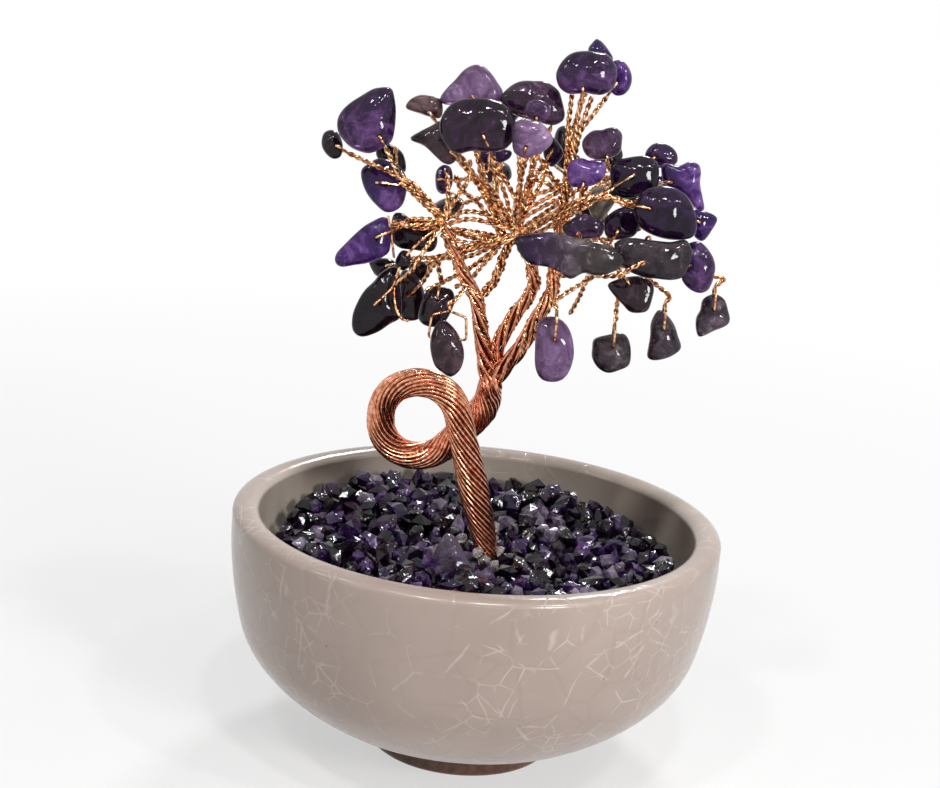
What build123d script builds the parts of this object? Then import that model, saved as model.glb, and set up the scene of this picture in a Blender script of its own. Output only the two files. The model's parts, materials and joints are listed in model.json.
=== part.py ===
from build123d import *
import math
import os
import random

# A small gem tree: copper wires twisted into a looped trunk and limbs, drilled and
# tumbled amethyst chips on the wire ends, crushed amethyst set in plaster, and a
# crackle glazed bowl. Millimetres, +Z up, origin at the middle of the bowl's foot
# on the table. The trunk's loop lies to the left and faces the viewer, who looks
# along +Y.

# The bowl
bowl_outer_radius = 35.0
bowl_height = 35.1
bowl_wall = 3.8
lip_crown = 1.1
widest_below_rim = 3.3
belly_draw = 1.8
belly_height = 18.4
heel_draw = 13.2
heel_rise = 1.4
foot_outer_radius = 13.25
foot_neck_draw = 0.85
foot_ring = 2.85
foot_height = 4.7
foot_recess = 1.9
floor_thickness = 6.6
floor_dish = 1.1

# The plaster, the glue and the crushed stone that sits on the plaster
plaster_below_rim = 8.7
plaster_gap = 0.06
gravel_below_rim = 6.1
gravel_radius = 2.1
gravel_height = 2.9
gravel_gap = 0.15
gravel_seat = 0.02
gravel_seed = 7
gravel_foot_points = 5
gravel_top_points = 3
glue_radius = 3.0
glue_rise = 0.9
glue_points = 9

# The trunk: a cable with one loop
root_right = 1.9
root_back = 0.6
root_depth = 8.0
root_radius = 1.62
root_gap = 0.04
cable_radius = 2.15
cable_sides = 12
loop_bend = 5.5
loop_left = 9.3
loop_rise = 19.4
strand_gap = 0.8
gap_steps = 240

# The limbs
crown_reach = 32.0
crown_rise = 50.0
limb_foot_radius = 0.9
limb_radius = 1.15
limb_sides = 8
branch_radius = 0.8
knot_radius = 1.6
tip_knot_radius = 0.95
seat_gap = 0.06

# The wires and their eyes
stem_radius = 0.5
twig_radius = 0.38
wire_diameter = 0.38
wire_sides = 5
hole_clearance = 0.09
swing_clearance = 0.05
drop_neck = 1.4

# The chips
chip_size = 7.0
chip_rings = 4
chip_ring_points = 6

# Worked out from the sizes above
lip_radius = bowl_outer_radius - bowl_wall
belly_radius = bowl_outer_radius - belly_draw
heel_radius = bowl_outer_radius - heel_draw
foot_neck_radius = foot_outer_radius - foot_neck_draw
foot_inner_radius = foot_outer_radius - foot_ring
heel_height = foot_height + heel_rise
floor_level = foot_recess + floor_thickness
plaster_level = bowl_height - plaster_below_rim
gravel_level = bowl_height - gravel_below_rim
strand_offset = cable_radius + strand_gap / 2
seat_circle = (limb_foot_radius + seat_gap) * 2 / math.sqrt(3)
wire_radius = wire_diameter / 2


def save(name, solids):
    """Write one node as a STEP file, from one solid or a list of separate ones."""
    group = Compound(solids) if len(solids) > 1 else solids[0]
    group.label = name
    export_step(group, f"parts/{name}.step")


# The bowl: a turned ring foot, a full belly and a rounded lip

def inside_wall(gap):
    """The bowl's inner curve from the lip to the floor, drawn in by a gap."""
    wall = TangentArc(
        (lip_radius - gap, bowl_height - lip_crown),
        (belly_radius - bowl_wall - gap, belly_height),
        tangent=(0, -1),
    )
    turn = TangentArc(
        wall @ 1,
        (heel_radius - bowl_wall - gap, floor_level + floor_dish + gap),
        tangent=wall % 1,
    )
    return wall, turn


def bowl():
    widest = (bowl_outer_radius, bowl_height - widest_below_rim)
    lip_foot = (bowl_outer_radius, bowl_height - lip_crown)
    lip_top = (bowl_outer_radius - bowl_wall / 2, bowl_height)
    side = TangentArc(widest, (belly_radius, belly_height), tangent=(0, -1))
    heel = TangentArc(side @ 1, (heel_radius, heel_height), tangent=side % 1)
    under = TangentArc(heel @ 1, (foot_neck_radius, foot_height), tangent=heel % 1)
    wall, turn = inside_wall(0)
    lip = ThreePointArc(lip_foot, lip_top, wall @ 0)
    base = Polyline(
        turn @ 1,
        (0, floor_level),
        (0, foot_recess),
        (foot_inner_radius, foot_recess),
        (foot_inner_radius, 0),
        (foot_outer_radius, 0),
        under @ 1,
    )
    profile = make_face([side, heel, under, Line(widest, lip_foot), lip, wall, turn, base])
    return revolve(Plane.XZ * profile, Axis.Z)


def plaster_fill(root):
    """The plaster plug, cast round the trunk's root and a little short of the bowl."""
    wall, turn = inside_wall(plaster_gap)
    rim = wall @ 0
    floor_middle = (0, floor_level + plaster_gap)
    side = Polyline((0, rim.Y), rim, wall @ 1, turn @ 0.5, turn @ 1, floor_middle, close=True)
    plug = revolve(Plane.XZ * make_face(side), Axis.Z)
    above = Plane.XY.offset(plaster_level) * Circle(bowl_outer_radius)
    return plug - extrude(above, bowl_height) - root


# The trunk: one cable that rises from the plaster, makes a loop and ends in a neck

def loop_place(right_share, back_share, up_share):
    """A corner of the trunk's route, in bends from the middle of the loop."""
    return Vector(
        -loop_left + right_share * loop_bend,
        back_share * strand_offset,
        gravel_level + loop_rise + up_share * loop_bend,
    )


loop_corner_shares = [
    (0.755, -1.30, 1.018),
    (-1.018, -0.35, 1.018),
    (-1.018, 0.35, -1.12),
    (0.436, 1.15, -1.12),
    (1.782, 1.05, 0.327),
]
loop_bend_shares = [0.96, 0.96, 0.96, 0.96, 1.25]
neck_top_shares = (1.873, 0.2, 1.10)
straight_root_share = 0.5

root_top = Vector(root_right, root_back, gravel_level)
corners = [loop_place(*shares) for shares in loop_corner_shares]
neck_top = loop_place(*neck_top_shares)
neck_way = (neck_top - corners[-1]).normalized()
root_way = (corners[0] - root_top).normalized()
root_foot = root_top - root_way * root_depth
root_end = root_top + root_way * loop_rise * straight_root_share


def section(place, along, radius, sides):
    """A regular outline square to a direction, with a steady side to the front."""
    front = Vector(0, 1, 0)
    lies_along_front = abs(along.dot(front)) > abs(along.cross(front).length)
    steady = Vector(1, 0, 0) if lies_along_front else front
    plane = Plane(place, x_dir=along.cross(steady).normalized(), z_dir=along)
    return plane * RegularPolygon(radius, sides)


def root_cone(gap):
    """The trunk's tapered lower end, or the hole that it leaves in the plaster."""
    places = [root_foot - root_way * gap, root_top, root_end]
    radii = [root_radius + gap, root_radius + gap, cable_radius + gap]
    rings = [section(p, root_way, r, cable_sides) for p, r in zip(places, radii)]
    return loft(rings, ruled=True)


def self_gap(route):
    """The least gap between stretches of the trunk over half a turn apart along it."""
    steps = range(gap_steps + 1)
    points = [route @ (i / gap_steps) for i in steps]
    skip = math.ceil(math.pi * loop_bend / route.length * gap_steps)
    least = min((points[j] - points[i]).length for i in steps for j in steps[i + skip:])
    return least - 2 * cable_radius


def trunk():
    radii = [share * loop_bend for share in loop_bend_shares]
    route = FilletPolyline(root_end, *corners, neck_top, radius=radii)
    outline = section(root_end, root_way, cable_radius, cable_sides)
    coil = sweep(outline, route)
    print("trunk volume over section times length", coil.volume / outline.area / route.length)
    print("trunk least gap to itself", self_gap(route))
    return coil + root_cone(0)


# The limbs: tapered bundles of twisted wire that spring from the neck's flat end

def crown_place(place_shares):
    """A place in the crown, in shares of its reach from the bowl's axis and its rise."""
    right_share, back_share, up_share = place_shares
    return Vector(
        right_share * crown_reach,
        back_share * crown_reach,
        neck_top.Z + up_share * crown_rise,
    )


def hub(place_shares, radius):
    return crown_place(place_shares), radius


hubs = {
    "knot_left": hub((-0.250, -0.094, 0.462), knot_radius),
    "knot_middle": hub((0.066, 0.000, 0.433), knot_radius),
    "knot_right": hub((0.247, 0.031, 0.484), knot_radius),
    "knot_tip": hub((0.272, 0.016, 0.649), tip_knot_radius),
    "left_side": hub((-0.128, -0.040, 0.288), limb_radius),
    "right_side": hub((0.240, 0.006, 0.321), limb_radius),
}
limb_shares = {
    "limb_left": (
        180,
        "knot_left",
        [(-0.050, -0.010, 0.151), (-0.086, -0.030, 0.244), (-0.160, -0.050, 0.325)],
    ),
    "limb_middle": (
        60,
        "knot_middle",
        [
            (0.042, 0.045, 0.132),
            (0.096, 0.045, 0.205),
            (0.152, 0.035, 0.271),
            (0.144, 0.016, 0.343),
        ],
    ),
    "limb_right": (
        300,
        "knot_right",
        [(0.135, -0.020, 0.114), (0.188, -0.020, 0.208), (0.238, 0.000, 0.286)],
    ),
}
branch_shares = [(-0.075, -0.031, 0.253), (-0.016, -0.010, 0.295), (0.024, -0.014, 0.385)]
knot_foot_share = 0.6
knot_middle_share = 0.85
knot_end_share = 0.5
knot_end_reach_share = 0.7


def tapered(points, radii, foot_way=None):
    """A limb through points, with a ring at each, square to the way it runs."""
    rings = []
    for i, point in enumerate(points):
        before = points[max(i - 1, 0)]
        after = points[min(i + 1, len(points) - 1)]
        way = (after - before).normalized()
        if i == 0 and foot_way:
            way = foot_way
        rings.append(section(point, way, radii[i], limb_sides))
    return loft(rings, ruled=True)


def knotted(points, radii, hub_name, foot_way=None):
    """A limb that ends in the knot where its bundle swells and the twigs leave."""
    middle, size = hubs[hub_name]
    way = (middle - points[-1]).normalized()
    knot = [middle - way * size, middle, middle + way * size * knot_end_reach_share]
    knot_shares = [knot_foot_share, knot_middle_share, knot_end_share]
    knot_radii = [share * size for share in knot_shares]
    return tapered(points + knot, radii + knot_radii, foot_way)


def limb(name):
    foot_turn, hub_name, route_shares = limb_shares[name]
    right = Vector(0, 1, 0).cross(neck_way).normalized()
    back = neck_way.cross(right)
    angle = math.radians(foot_turn)
    foot = neck_top + (right * math.cos(angle) + back * math.sin(angle)) * seat_circle
    points = [foot] + [crown_place(shares) for shares in route_shares]
    radii = [limb_foot_radius] + [limb_radius] * len(route_shares)
    return knotted(points, radii, hub_name, neck_way)


def limb_branch(limb_left):
    """The thinner bundle that leaves the left limb and runs up to the middle knot."""
    points = [crown_place(shares) for shares in branch_shares]
    middle, size = hubs["knot_middle"]
    way = (middle - points[-1]).normalized()
    points.append(middle - way * (size + seat_gap))
    return tapered(points, [branch_radius] * len(points)) - limb_left


def limb_tip():
    """The bundle that carries the highest chips, above the right knot."""
    start, size = hubs["knot_right"]
    way = (hubs["knot_tip"][0] - start).normalized()
    return knotted([start + way * (size + seat_gap)], [branch_radius], "knot_tip")


# The chips: tumbled stones, each with a hole drilled through its thin side and held by
# an eye of wire that passes through the hole

uneven_share = 0.07
bump_wave_shares = (2.4, 1.7)
hole_share = 0.45
shoulder_share = 0.85
shoulder_width_share = 0.94
wire_stop_share = 1.22
leg_share = 0.9
eye_share = 1.12
free_eye_share = 1.26
ways = {"x": Vector(1, 0, 0), "y": Vector(0, 1, 0), "z": Vector(0, 0, 1)}


def pebble_points(size_shares, taper_share, turn):
    """Points on a rounded stone that swells at one end, about its own middle."""
    long_half, wide_half, thin_half = [share * chip_size / 2 for share in size_shares]
    points = [(-long_half, 0, 0), (long_half, 0, 0)]
    for ring in range(1, chip_rings + 1):
        along_share = -math.cos(math.pi * ring / (chip_rings + 1))
        round_share = math.sqrt(1 - along_share**2) * (1 - taper_share * along_share)
        for k in range(chip_ring_points):
            angle = 2 * math.pi * (k + ring / 2) / chip_ring_points
            wave = bump_wave_shares[0] * k + bump_wave_shares[1] * ring + turn
            bump_share = 1 + uneven_share * math.sin(wave)
            wide = wide_half * round_share * bump_share * math.cos(angle)
            thin = thin_half * round_share * math.sin(angle)
            points.append((long_half * along_share, wide, thin))
    return points


def rod(points, radius, across=None):
    """A wire of one thickness along straight runs with mitred corners."""
    along = (points[1] - points[0]).normalized()
    if across is None:
        outline = section(points[0], along, radius, wire_sides)
    else:
        plane = Plane(points[0], x_dir=across, z_dir=along)
        outline = plane * RegularPolygon(radius, wire_sides)
    if len(points) == 2:
        return extrude(outline, (points[1] - points[0]).length, dir=along)
    return sweep(outline, Polyline(*points), transition=Transition.RIGHT)


class Chip:
    """One chip: its place, its three ways, and the eye of wire through its hole."""

    def __init__(self, row, fork, hangs):
        self.node, place_shares, size_shares, tilt, taper_share, drilled = row
        self.hangs = hangs
        self.centre = crown_place(place_shares)
        down = Vector(0, 0, -1)
        self.into = down if hangs else (self.centre - fork).normalized()
        self.set_ways(drilled, tilt)
        turn = math.radians(tilt)
        pebble = pebble_points(size_shares, taper_share, turn)
        self.spots = [self.spread(*point) for point in pebble]
        self.reach = max(-spot.dot(self.into) for spot in self.spots)
        self.half = max(abs(spot.dot(self.thin_way)) for spot in self.spots)
        self.hole = self.centre - self.into * self.reach * hole_share
        loose_share = free_eye_share if hangs else eye_share
        self.eye_half = self.half * loose_share + wire_radius
        stop = self.reach * wire_stop_share + wire_diameter
        self.wire_end = self.centre - self.into * stop

    def set_ways(self, drilled, tilt):
        """The thin way is square to the twig, and the long way is tilted about it."""
        through = ways[drilled]
        self.thin_way = (through - self.into * self.into.dot(through)).normalized()
        level = ways["z"] if drilled == "x" else ways["x"]
        flat = (level - self.thin_way * self.thin_way.dot(level)).normalized()
        up = flat.cross(self.thin_way)
        angle = math.radians(tilt)
        self.long_way = flat * math.cos(angle) + up * math.sin(angle)
        self.wide_way = self.thin_way.cross(self.long_way)

    def spread(self, long, wide, thin):
        """A spot of the stone, from its middle, in the directions of the whole tree."""
        return self.long_way * long + self.wide_way * wide + self.thin_way * thin

    def stone(self):
        """The stone with its drilled hole, which is round where the stone swings."""
        across = self.into.cross(self.thin_way)
        plane = Plane(self.hole, x_dir=across, z_dir=self.thin_way)
        if self.hangs:
            drill = plane * Circle(wire_radius + swing_clearance)
        else:
            drill = plane * RegularPolygon(wire_radius + hole_clearance, wire_sides)
        stone = ConvexPolyhedron([self.centre + spot for spot in self.spots])
        return stone - extrude(drill, self.eye_half, both=True)

    def wire_run(self):
        """The twig's last points: the wire of a free stone comes straight down."""
        if self.hangs:
            return [self.wire_end - self.into * drop_neck, self.wire_end]
        return [self.wire_end]

    def eye(self):
        """The wire that leaves the twig, passes through the hole and comes back."""
        out = self.thin_way * self.eye_half
        leg = self.thin_way * wire_radius * leg_share
        start = self.wire_end - self.into * wire_diameter
        shoulder = self.centre - self.into * self.reach * shoulder_share
        across = self.into.cross(self.thin_way)
        there = [start + leg, shoulder + out * shoulder_width_share, self.hole + out]
        back = [self.hole - out, shoulder - out * shoulder_width_share, start - leg]
        return rod(there + back, wire_radius, across)


# Each spray of twigs: its hub, the bends of its stem up to the fork, and its chips.
# A chip's row gives its node, place and size shares, tilt in degrees, taper share and
# the way it is drilled.

spray_shares = {
    "twigs_upper_left": ("knot_left", [(-0.419, -0.031, 0.547)], [
        ("chip_left_crest", (-0.600, -0.100, 0.720), (1.48, 1.05, 0.66), 55, 0.25, "y"),
        ("small_chips_left", (-0.760, 0.030, 0.634), (0.61, 0.45, 0.44), 100, 0.0, "y"),
        ("small_chips_left", (-0.475, 0.210, 0.612), (0.72, 0.60, 0.46), 20, 0.0, "z"),
        ("chip_violet_leaf", (-0.540, 0.070, 0.534), (1.22, 0.90, 0.46), -62, -0.35, "y"),
    ]),
    "twigs_left": ("knot_left", [(-0.391, -0.125, 0.456)], [
        ("chip_left_finger", (-0.590, -0.125, 0.388), (1.51, 0.65, 0.54), 43, 0.20, "y"),
        ("small_chips_left", (-0.397, -0.010, 0.409), (0.68, 0.58, 0.64), 10, 0.0, "x"),
    ]),
    "twigs_lower_left": ("knot_middle", [(-0.234, 0.000, 0.357)], [
        ("small_chips_left", (-0.515, 0.050, 0.307), (0.64, 0.60, 0.46), 5, 0.0, "y"),
        ("small_chips_left", (-0.412, -0.125, 0.349), (0.40, 0.34, 0.32), 65, 0.0, "y"),
        ("chip_left_inner", (-0.362, 0.110, 0.226), (0.88, 0.76, 0.54), 85, 0.0, "y"),
        ("chip_left_lower", (-0.250, -0.016, 0.225), (0.80, 0.68, 0.52), 65, 0.1, "y"),
        ("small_chips_left", (-0.312, 0.205, 0.312), (0.49, 0.42, 0.40), 5, 0.0, "z"),
    ]),
    "wire_arched": (
        "knot_left",
        [(-0.322, -0.225, 0.411), (-0.372, -0.247, 0.347)],
        [("chip_left_heavy", (-0.516, -0.125, 0.216), (1.54, 0.87, 0.62), 57, 0.20, "y")],
    ),
    "wire_dropped": (
        "left_side",
        [(-0.175, -0.138, 0.260)],
        [("chip_hanging_left", (-0.197, -0.162, 0.108), (1.16, 0.50, 0.68), 0, 0.0, "x")],
    ),
    "twigs_top_left": ("knot_middle", [(-0.106, 0.016, 0.564)], [
        ("small_chips_top", (-0.380, 0.094, 0.754), (0.79, 0.42, 0.40), -5, -0.2, "y"),
        ("chip_top_peak", (-0.175, 0.094, 0.820), (1.20, 0.86, 0.57), 10, 0.1, "y"),
        ("chip_top_pointed", (-0.312, -0.030, 0.661), (0.98, 0.66, 0.49), 25, -0.3, "y"),
        ("small_chips_top", (-0.056, 0.125, 0.627), (0.79, 0.42, 0.43), 5, 0.0, "z"),
        ("small_chips_top", (-0.272, 0.187, 0.547), (0.84, 0.48, 0.43), 0, 0.0, "x"),
    ]),
    "twigs_top_front": ("knot_middle", [(0.050, -0.081, 0.522)], [
        ("chip_top_front", (-0.130, -0.190, 0.738), (1.45, 1.03, 0.63), 0, 0.0, "y"),
        ("chip_lilac_front", (0.094, -0.275, 0.726), (0.78, 0.72, 0.46), 35, 0.0, "y"),
        ("small_chips_top", (0.100, -0.120, 0.793), (0.38, 0.35, 0.29), 15, 0.0, "y"),
    ]),
    "twigs_top": ("knot_middle", [(0.100, 0.047, 0.571)], [
        ("chip_top_crown", (0.089, 0.028, 0.814), (1.17, 0.74, 0.52), 5, 0.1, "y"),
        ("small_chips_top", (0.195, 0.140, 0.769), (0.59, 0.51, 0.43), 45, 0.0, "y"),
        ("small_chips_top", (0.200, 0.160, 0.655), (0.76, 0.48, 0.43), 75, 0.0, "y"),
    ]),
    "twigs_tip": ("knot_tip", [(0.269, 0.016, 0.705)], [
        ("chip_tip_main", (0.297, -0.030, 0.894), (1.24, 0.89, 0.64), 10, 0.1, "y"),
        ("small_chips_top", (0.334, 0.140, 0.938), (0.51, 0.40, 0.43), 35, 0.0, "y"),
        ("small_chips_top", (0.453, 0.094, 0.876), (0.74, 0.47, 0.49), 105, 0.1, "y"),
    ]),
    "twigs_right_upper": ("knot_right", [(0.453, 0.203, 0.571)], [
        ("chip_right_bumped", (0.403, 0.110, 0.697), (0.83, 0.63, 0.49), 25, 0.0, "y"),
        ("small_chips_right", (0.669, 0.250, 0.664), (0.72, 0.56, 0.46), -15, 0.0, "y"),
        ("chip_right_pale", (0.766, 0.062, 0.607), (0.99, 0.79, 0.57), -45, 0.1, "y"),
        ("small_chips_right", (0.662, 0.250, 0.568), (0.61, 0.52, 0.43), 5, 0.0, "y"),
    ]),
    "twigs_right_middle": ("knot_middle", [(0.365, -0.125, 0.562)], [
        ("chip_right_large", (0.675, -0.172, 0.550), (1.39, 1.00, 0.63), -10, 0.0, "y"),
        ("chip_right_back", (0.553, 0.024, 0.606), (1.04, 0.80, 0.47), 80, 0.0, "y"),
        ("small_chips_right", (0.856, -0.020, 0.511), (0.67, 0.47, 0.43), 50, 0.25, "y"),
    ]),
    "twigs_right_front": ("knot_right", [(0.319, -0.062, 0.528)], [
        ("chip_right_bright", (0.328, -0.094, 0.643), (0.74, 0.66, 0.50), 5, 0.0, "y"),
        ("chip_quartz", (0.415, 0.058, 0.556), (0.67, 0.55, 0.44), 65, 0.0, "y"),
    ]),
    "twigs_right_lower": ("knot_right", [(0.453, -0.087, 0.421)], [
        ("long_shard", (0.290, -0.375, 0.435), (1.98, 0.56, 0.84), 0, -0.2, "z"),
        ("chip_right_shelf", (0.628, -0.276, 0.432), (1.58, 0.58, 0.76), 0, 0.1, "z"),
        ("chip_right_end", (0.838, -0.180, 0.403), (0.93, 0.68, 0.54), 105, 0.0, "y"),
        ("chip_right_down", (0.562, -0.172, 0.320), (0.94, 0.80, 0.51), -75, -0.35, "y"),
        ("chip_right_inner", (0.338, -0.170, 0.497), (0.81, 0.46, 0.52), 0, 0.1, "z"),
        ("small_chips_right", (0.500, -0.047, 0.486), (0.71, 0.55, 0.44), 5, 0.0, "y"),
    ]),
    "twigs_hanging": ("right_side", [(0.500, 0.016, 0.372)], [
        ("chip_hanging_lilac", (0.262, -0.187, 0.139), (1.26, 0.75, 0.57), 98, 0.0, "y"),
        ("chip_hanging_clear", (0.522, -0.070, 0.132), (0.91, 0.75, 0.54), 15, 0.0, "y"),
        ("chip_hanging_grey", (0.734, -0.031, 0.180), (1.08, 0.72, 0.51), 70, -0.15, "y"),
        ("chip_hanging_end", (0.934, -0.094, 0.261), (0.87, 0.67, 0.51), 45, 0.0, "y"),
    ]),
    "twigs_back_left": ("knot_middle", [(-0.047, 0.187, 0.511)], [
        ("back_chips", (-0.190, 0.375, 0.706), (0.90, 0.70, 0.50), 20, 0.1, "x"),
        ("back_chips", (0.016, 0.390, 0.759), (0.80, 0.64, 0.50), -30, 0.0, "x"),
        ("back_chips", (-0.375, 0.330, 0.631), (0.95, 0.66, 0.52), 60, 0.1, "z"),
        ("back_chips", (-0.062, 0.420, 0.561), (0.84, 0.70, 0.50), 15, 0.0, "z"),
        ("back_chips", (-0.250, 0.360, 0.451), (0.80, 0.60, 0.48), -40, 0.0, "z"),
    ]),
    "twigs_back_right": ("knot_right", [(0.297, 0.281, 0.492)], [
        ("back_chips", (0.250, 0.390, 0.646), (0.90, 0.70, 0.50), 10, 0.1, "x"),
        ("back_chips", (0.453, 0.400, 0.640), (0.84, 0.66, 0.50), 70, 0.0, "z"),
        ("back_chips", (0.625, 0.420, 0.526), (0.90, 0.62, 0.50), 30, 0.1, "z"),
        ("back_chips", (0.406, 0.437, 0.451), (0.80, 0.66, 0.48), -20, 0.0, "z"),
    ]),
}
free_sprays = ("wire_dropped", "twigs_hanging")


def spray(name):
    """One spray of fused wires, and the chips that it holds."""
    hub_name, bend_shares, rows = spray_shares[name]
    middle, size = hubs[hub_name]
    bends = [crown_place(shares) for shares in bend_shares]
    way = (bends[0] - middle).normalized()
    stem = [middle + way * (size + seat_gap)] + bends
    held = [Chip(row, bends[-1], name in free_sprays) for row in rows]
    if len(held) == 1:
        wires = rod(stem + held[0].wire_run(), twig_radius)
    else:
        twigs = [rod([bends[-1]] + chip.wire_run(), twig_radius) for chip in held]
        wires = rod(stem, stem_radius) + twigs
    return wires + [chip.eye() for chip in held], held


# The crushed stone: flat footed splinters on the plaster, in a sunflower's pattern

pale_spot_shares = [(-0.09, -0.20), (0.19, 0.36), (0.27, 0.28), (0.80, 0.18), (-0.62, -0.35)]
pale_reach_share = 0.1
packed_share = 0.68
dark_share = 0.66
violet_share = 0.96
heap_share = 0.45
foot_size_shares = (0.88, 1.0)
top_size_shares = (0.45, 0.8)
splinter_size_shares = (0.92, 1.0)
splinter_rise_shares = (0.75, 1.1)
top_rise_shares = (0.7, 1.0)
uneven_step_share = 0.5


def splinter(place, size, rise, dice):
    """An angular piece of crushed stone that sits flat on the plaster."""
    start = dice.uniform(0, 2 * math.pi)
    points = []
    for k in range(gravel_foot_points):
        angle = start + 2 * math.pi * k / gravel_foot_points
        out = size * dice.uniform(*foot_size_shares)
        points.append(place + Vector(out * math.cos(angle), out * math.sin(angle), 0))
    for k in range(gravel_top_points):
        step = k + uneven_step_share * dice.random()
        angle = start + 2 * math.pi * step / gravel_top_points
        out = size * dice.uniform(*top_size_shares)
        up = rise * dice.uniform(*top_rise_shares)
        points.append(place + Vector(out * math.cos(angle), out * math.sin(angle), up))
    return ConvexPolyhedron(points)


def stone_tone(x, y, reach, dice):
    """The pile that a splinter belongs to: pale ones gather at a few spots."""
    draw = dice.random()
    near = min(math.hypot(x - a * reach, y - b * reach) for a, b in pale_spot_shares)
    if near < pale_reach_share * reach or draw > violet_share:
        return "gravel_pale"
    return "gravel_dark" if draw < dark_share else "gravel_violet"


def gravel():
    """Three piles of splinters, higher at the back left, clear of wall and glue."""
    dice = random.Random(gravel_seed)
    piles = {"gravel_dark": [], "gravel_violet": [], "gravel_pale": []}
    reach = belly_radius - bowl_wall - gravel_radius
    golden_turn = math.pi * (3 - math.sqrt(5))
    keep_out = glue_radius + gravel_radius + gravel_gap
    count = int(packed_share * (reach / gravel_radius) ** 2)
    for i in range(count):
        out = reach * math.sqrt((i + 0.5) / count)
        x = out * math.cos(i * golden_turn)
        y = out * math.sin(i * golden_turn)
        size = gravel_radius * dice.uniform(*splinter_size_shares)
        heap = 1 + heap_share * max(0, (y - x) / (2 * reach))
        rise = gravel_height * heap * dice.uniform(*splinter_rise_shares)
        tone = stone_tone(x, y, reach, dice)
        if math.hypot(x - root_right, y - root_back) > keep_out:
            place = Vector(x, y, plaster_level + gravel_seat)
            piles[tone].append(splinter(place, size, rise, dice))
    return piles


glue_wave_share = 0.12
glue_wave_turn_share = 2.3
glue_foot_share = 0.88
glue_top_share = 0.62


def root_glue(root):
    """The clear glue that beads up round the foot of the trunk."""
    foot = Vector(root_right, root_back, plaster_level + gravel_seat)
    rise = gravel_level + glue_rise - plaster_level
    points = []
    for k in range(glue_points):
        angle = 2 * math.pi * k / glue_points
        way = Vector(math.cos(angle), math.sin(angle), 0)
        wave = 1 - glue_wave_share * math.sin(glue_wave_turn_share * k) ** 2
        points.append(foot + way * glue_radius * wave * glue_foot_share)
        top = way * glue_radius * wave * glue_top_share
        points.append(foot + top + Vector(0, 0, rise * wave))
    return ConvexPolyhedron(points) - root


# The whole tree, one file to a node

os.makedirs("parts", exist_ok=True)
root_hole = root_cone(root_gap)
save("bowl", [bowl()])
save("plaster_fill", [plaster_fill(root_hole)])
save("root_glue", [root_glue(root_hole)])
for pile_name, pile in gravel().items():
    save(pile_name, pile)
save("trunk", [trunk()])
limbs = {name: limb(name) for name in limb_shares}
for limb_name, solid in limbs.items():
    save(limb_name, [solid])
save("limb_branch", [limb_branch(limbs["limb_left"])])
save("limb_tip", [limb_tip()])
chips = {}
for spray_name in spray_shares:
    wires, held = spray(spray_name)
    save(spray_name, [wires])
    for chip in held:
        chips.setdefault(chip.node, []).append(chip)
for chip_name, members in chips.items():
    save(chip_name, [chip.stone() for chip in members])
    if members[0].hangs:
        print(chip_name, "swings about", members[0].hole, "along", members[0].thin_way)
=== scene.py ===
# %% [markdown]
# # A small gem tree in a crackle glazed bowl
# The real ornament is a cable of twisted copper wire that makes one loop and opens into
# limbs. Each twig is a pair of wires, twisted together, that ends in an eye through a
# drilled and tumbled amethyst chip. The solid model gives every place and size, and this
# lesson dresses it: real strands in place of rods, tumbled stones in place of facets.

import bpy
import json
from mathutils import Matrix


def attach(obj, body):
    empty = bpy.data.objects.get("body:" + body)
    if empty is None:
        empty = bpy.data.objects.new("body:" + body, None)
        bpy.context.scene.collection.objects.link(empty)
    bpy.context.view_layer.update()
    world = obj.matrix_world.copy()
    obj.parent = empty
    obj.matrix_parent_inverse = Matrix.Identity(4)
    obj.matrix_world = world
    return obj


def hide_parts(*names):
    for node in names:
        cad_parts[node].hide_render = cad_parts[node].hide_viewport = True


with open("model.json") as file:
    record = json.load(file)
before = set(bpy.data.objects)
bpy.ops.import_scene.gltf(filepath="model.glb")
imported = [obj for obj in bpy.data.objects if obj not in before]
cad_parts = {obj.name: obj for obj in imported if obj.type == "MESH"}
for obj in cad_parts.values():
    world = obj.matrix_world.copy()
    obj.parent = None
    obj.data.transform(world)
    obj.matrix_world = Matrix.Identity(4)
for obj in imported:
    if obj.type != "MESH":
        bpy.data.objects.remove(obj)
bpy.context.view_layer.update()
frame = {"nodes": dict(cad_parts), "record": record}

# %% [markdown]
# The frame is in metres, so a size thought of in millimetres is multiplied by one `mm`.
# Colours are written as a screen shows them.

# %% Tools and units
import json
import math
import random

import bmesh
import bpy
import numpy as np
from mathutils import Matrix, Vector

mm = 0.001
scene = bpy.context.scene


def shown(red, green, blue):
    """A colour as a screen shows it, 0 to 255, as the linear values that shaders take."""
    parts = [c / 255 for c in (red, green, blue)]
    return tuple(((p + 0.055) / 1.055) ** 2.4 if p > 0.04 else p / 12.92 for p in parts) + (1,)


# %% [markdown]
# ## Camera
# The photograph was taken from a little above the rim, with a long lens held at a slant.
# A camera is placed by three directions at right angles, so the slant is two of them
# turned about the third.

# %% Camera
look_down = math.radians(15.198)
slant = math.radians(4.764)
aim = Vector((-2.543, 0, 52.657)) * mm
camera_away = 300
lens = 81.26
sensor = 36
right = Vector((1, 0, 0))
up = Vector((0, math.sin(look_down), math.cos(look_down)))
back = Vector((0, -math.cos(look_down), math.sin(look_down)))
side_way = right * math.cos(slant) + up * math.sin(slant)
top_way = up * math.cos(slant) - right * math.sin(slant)

camera = bpy.data.objects.new("camera", bpy.data.cameras.new("camera"))
scene.collection.objects.link(camera)
camera.matrix_world = Matrix.Translation(aim + back * camera_away * mm) @ Matrix(
    (side_way, top_way, back)
).transposed().to_4x4()
camera.data.sensor_width = sensor
camera.data.lens = lens
camera.data.clip_start = 0.01
scene.camera = camera
print("camera at", [round(v, 4) for v in camera.location])

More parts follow.
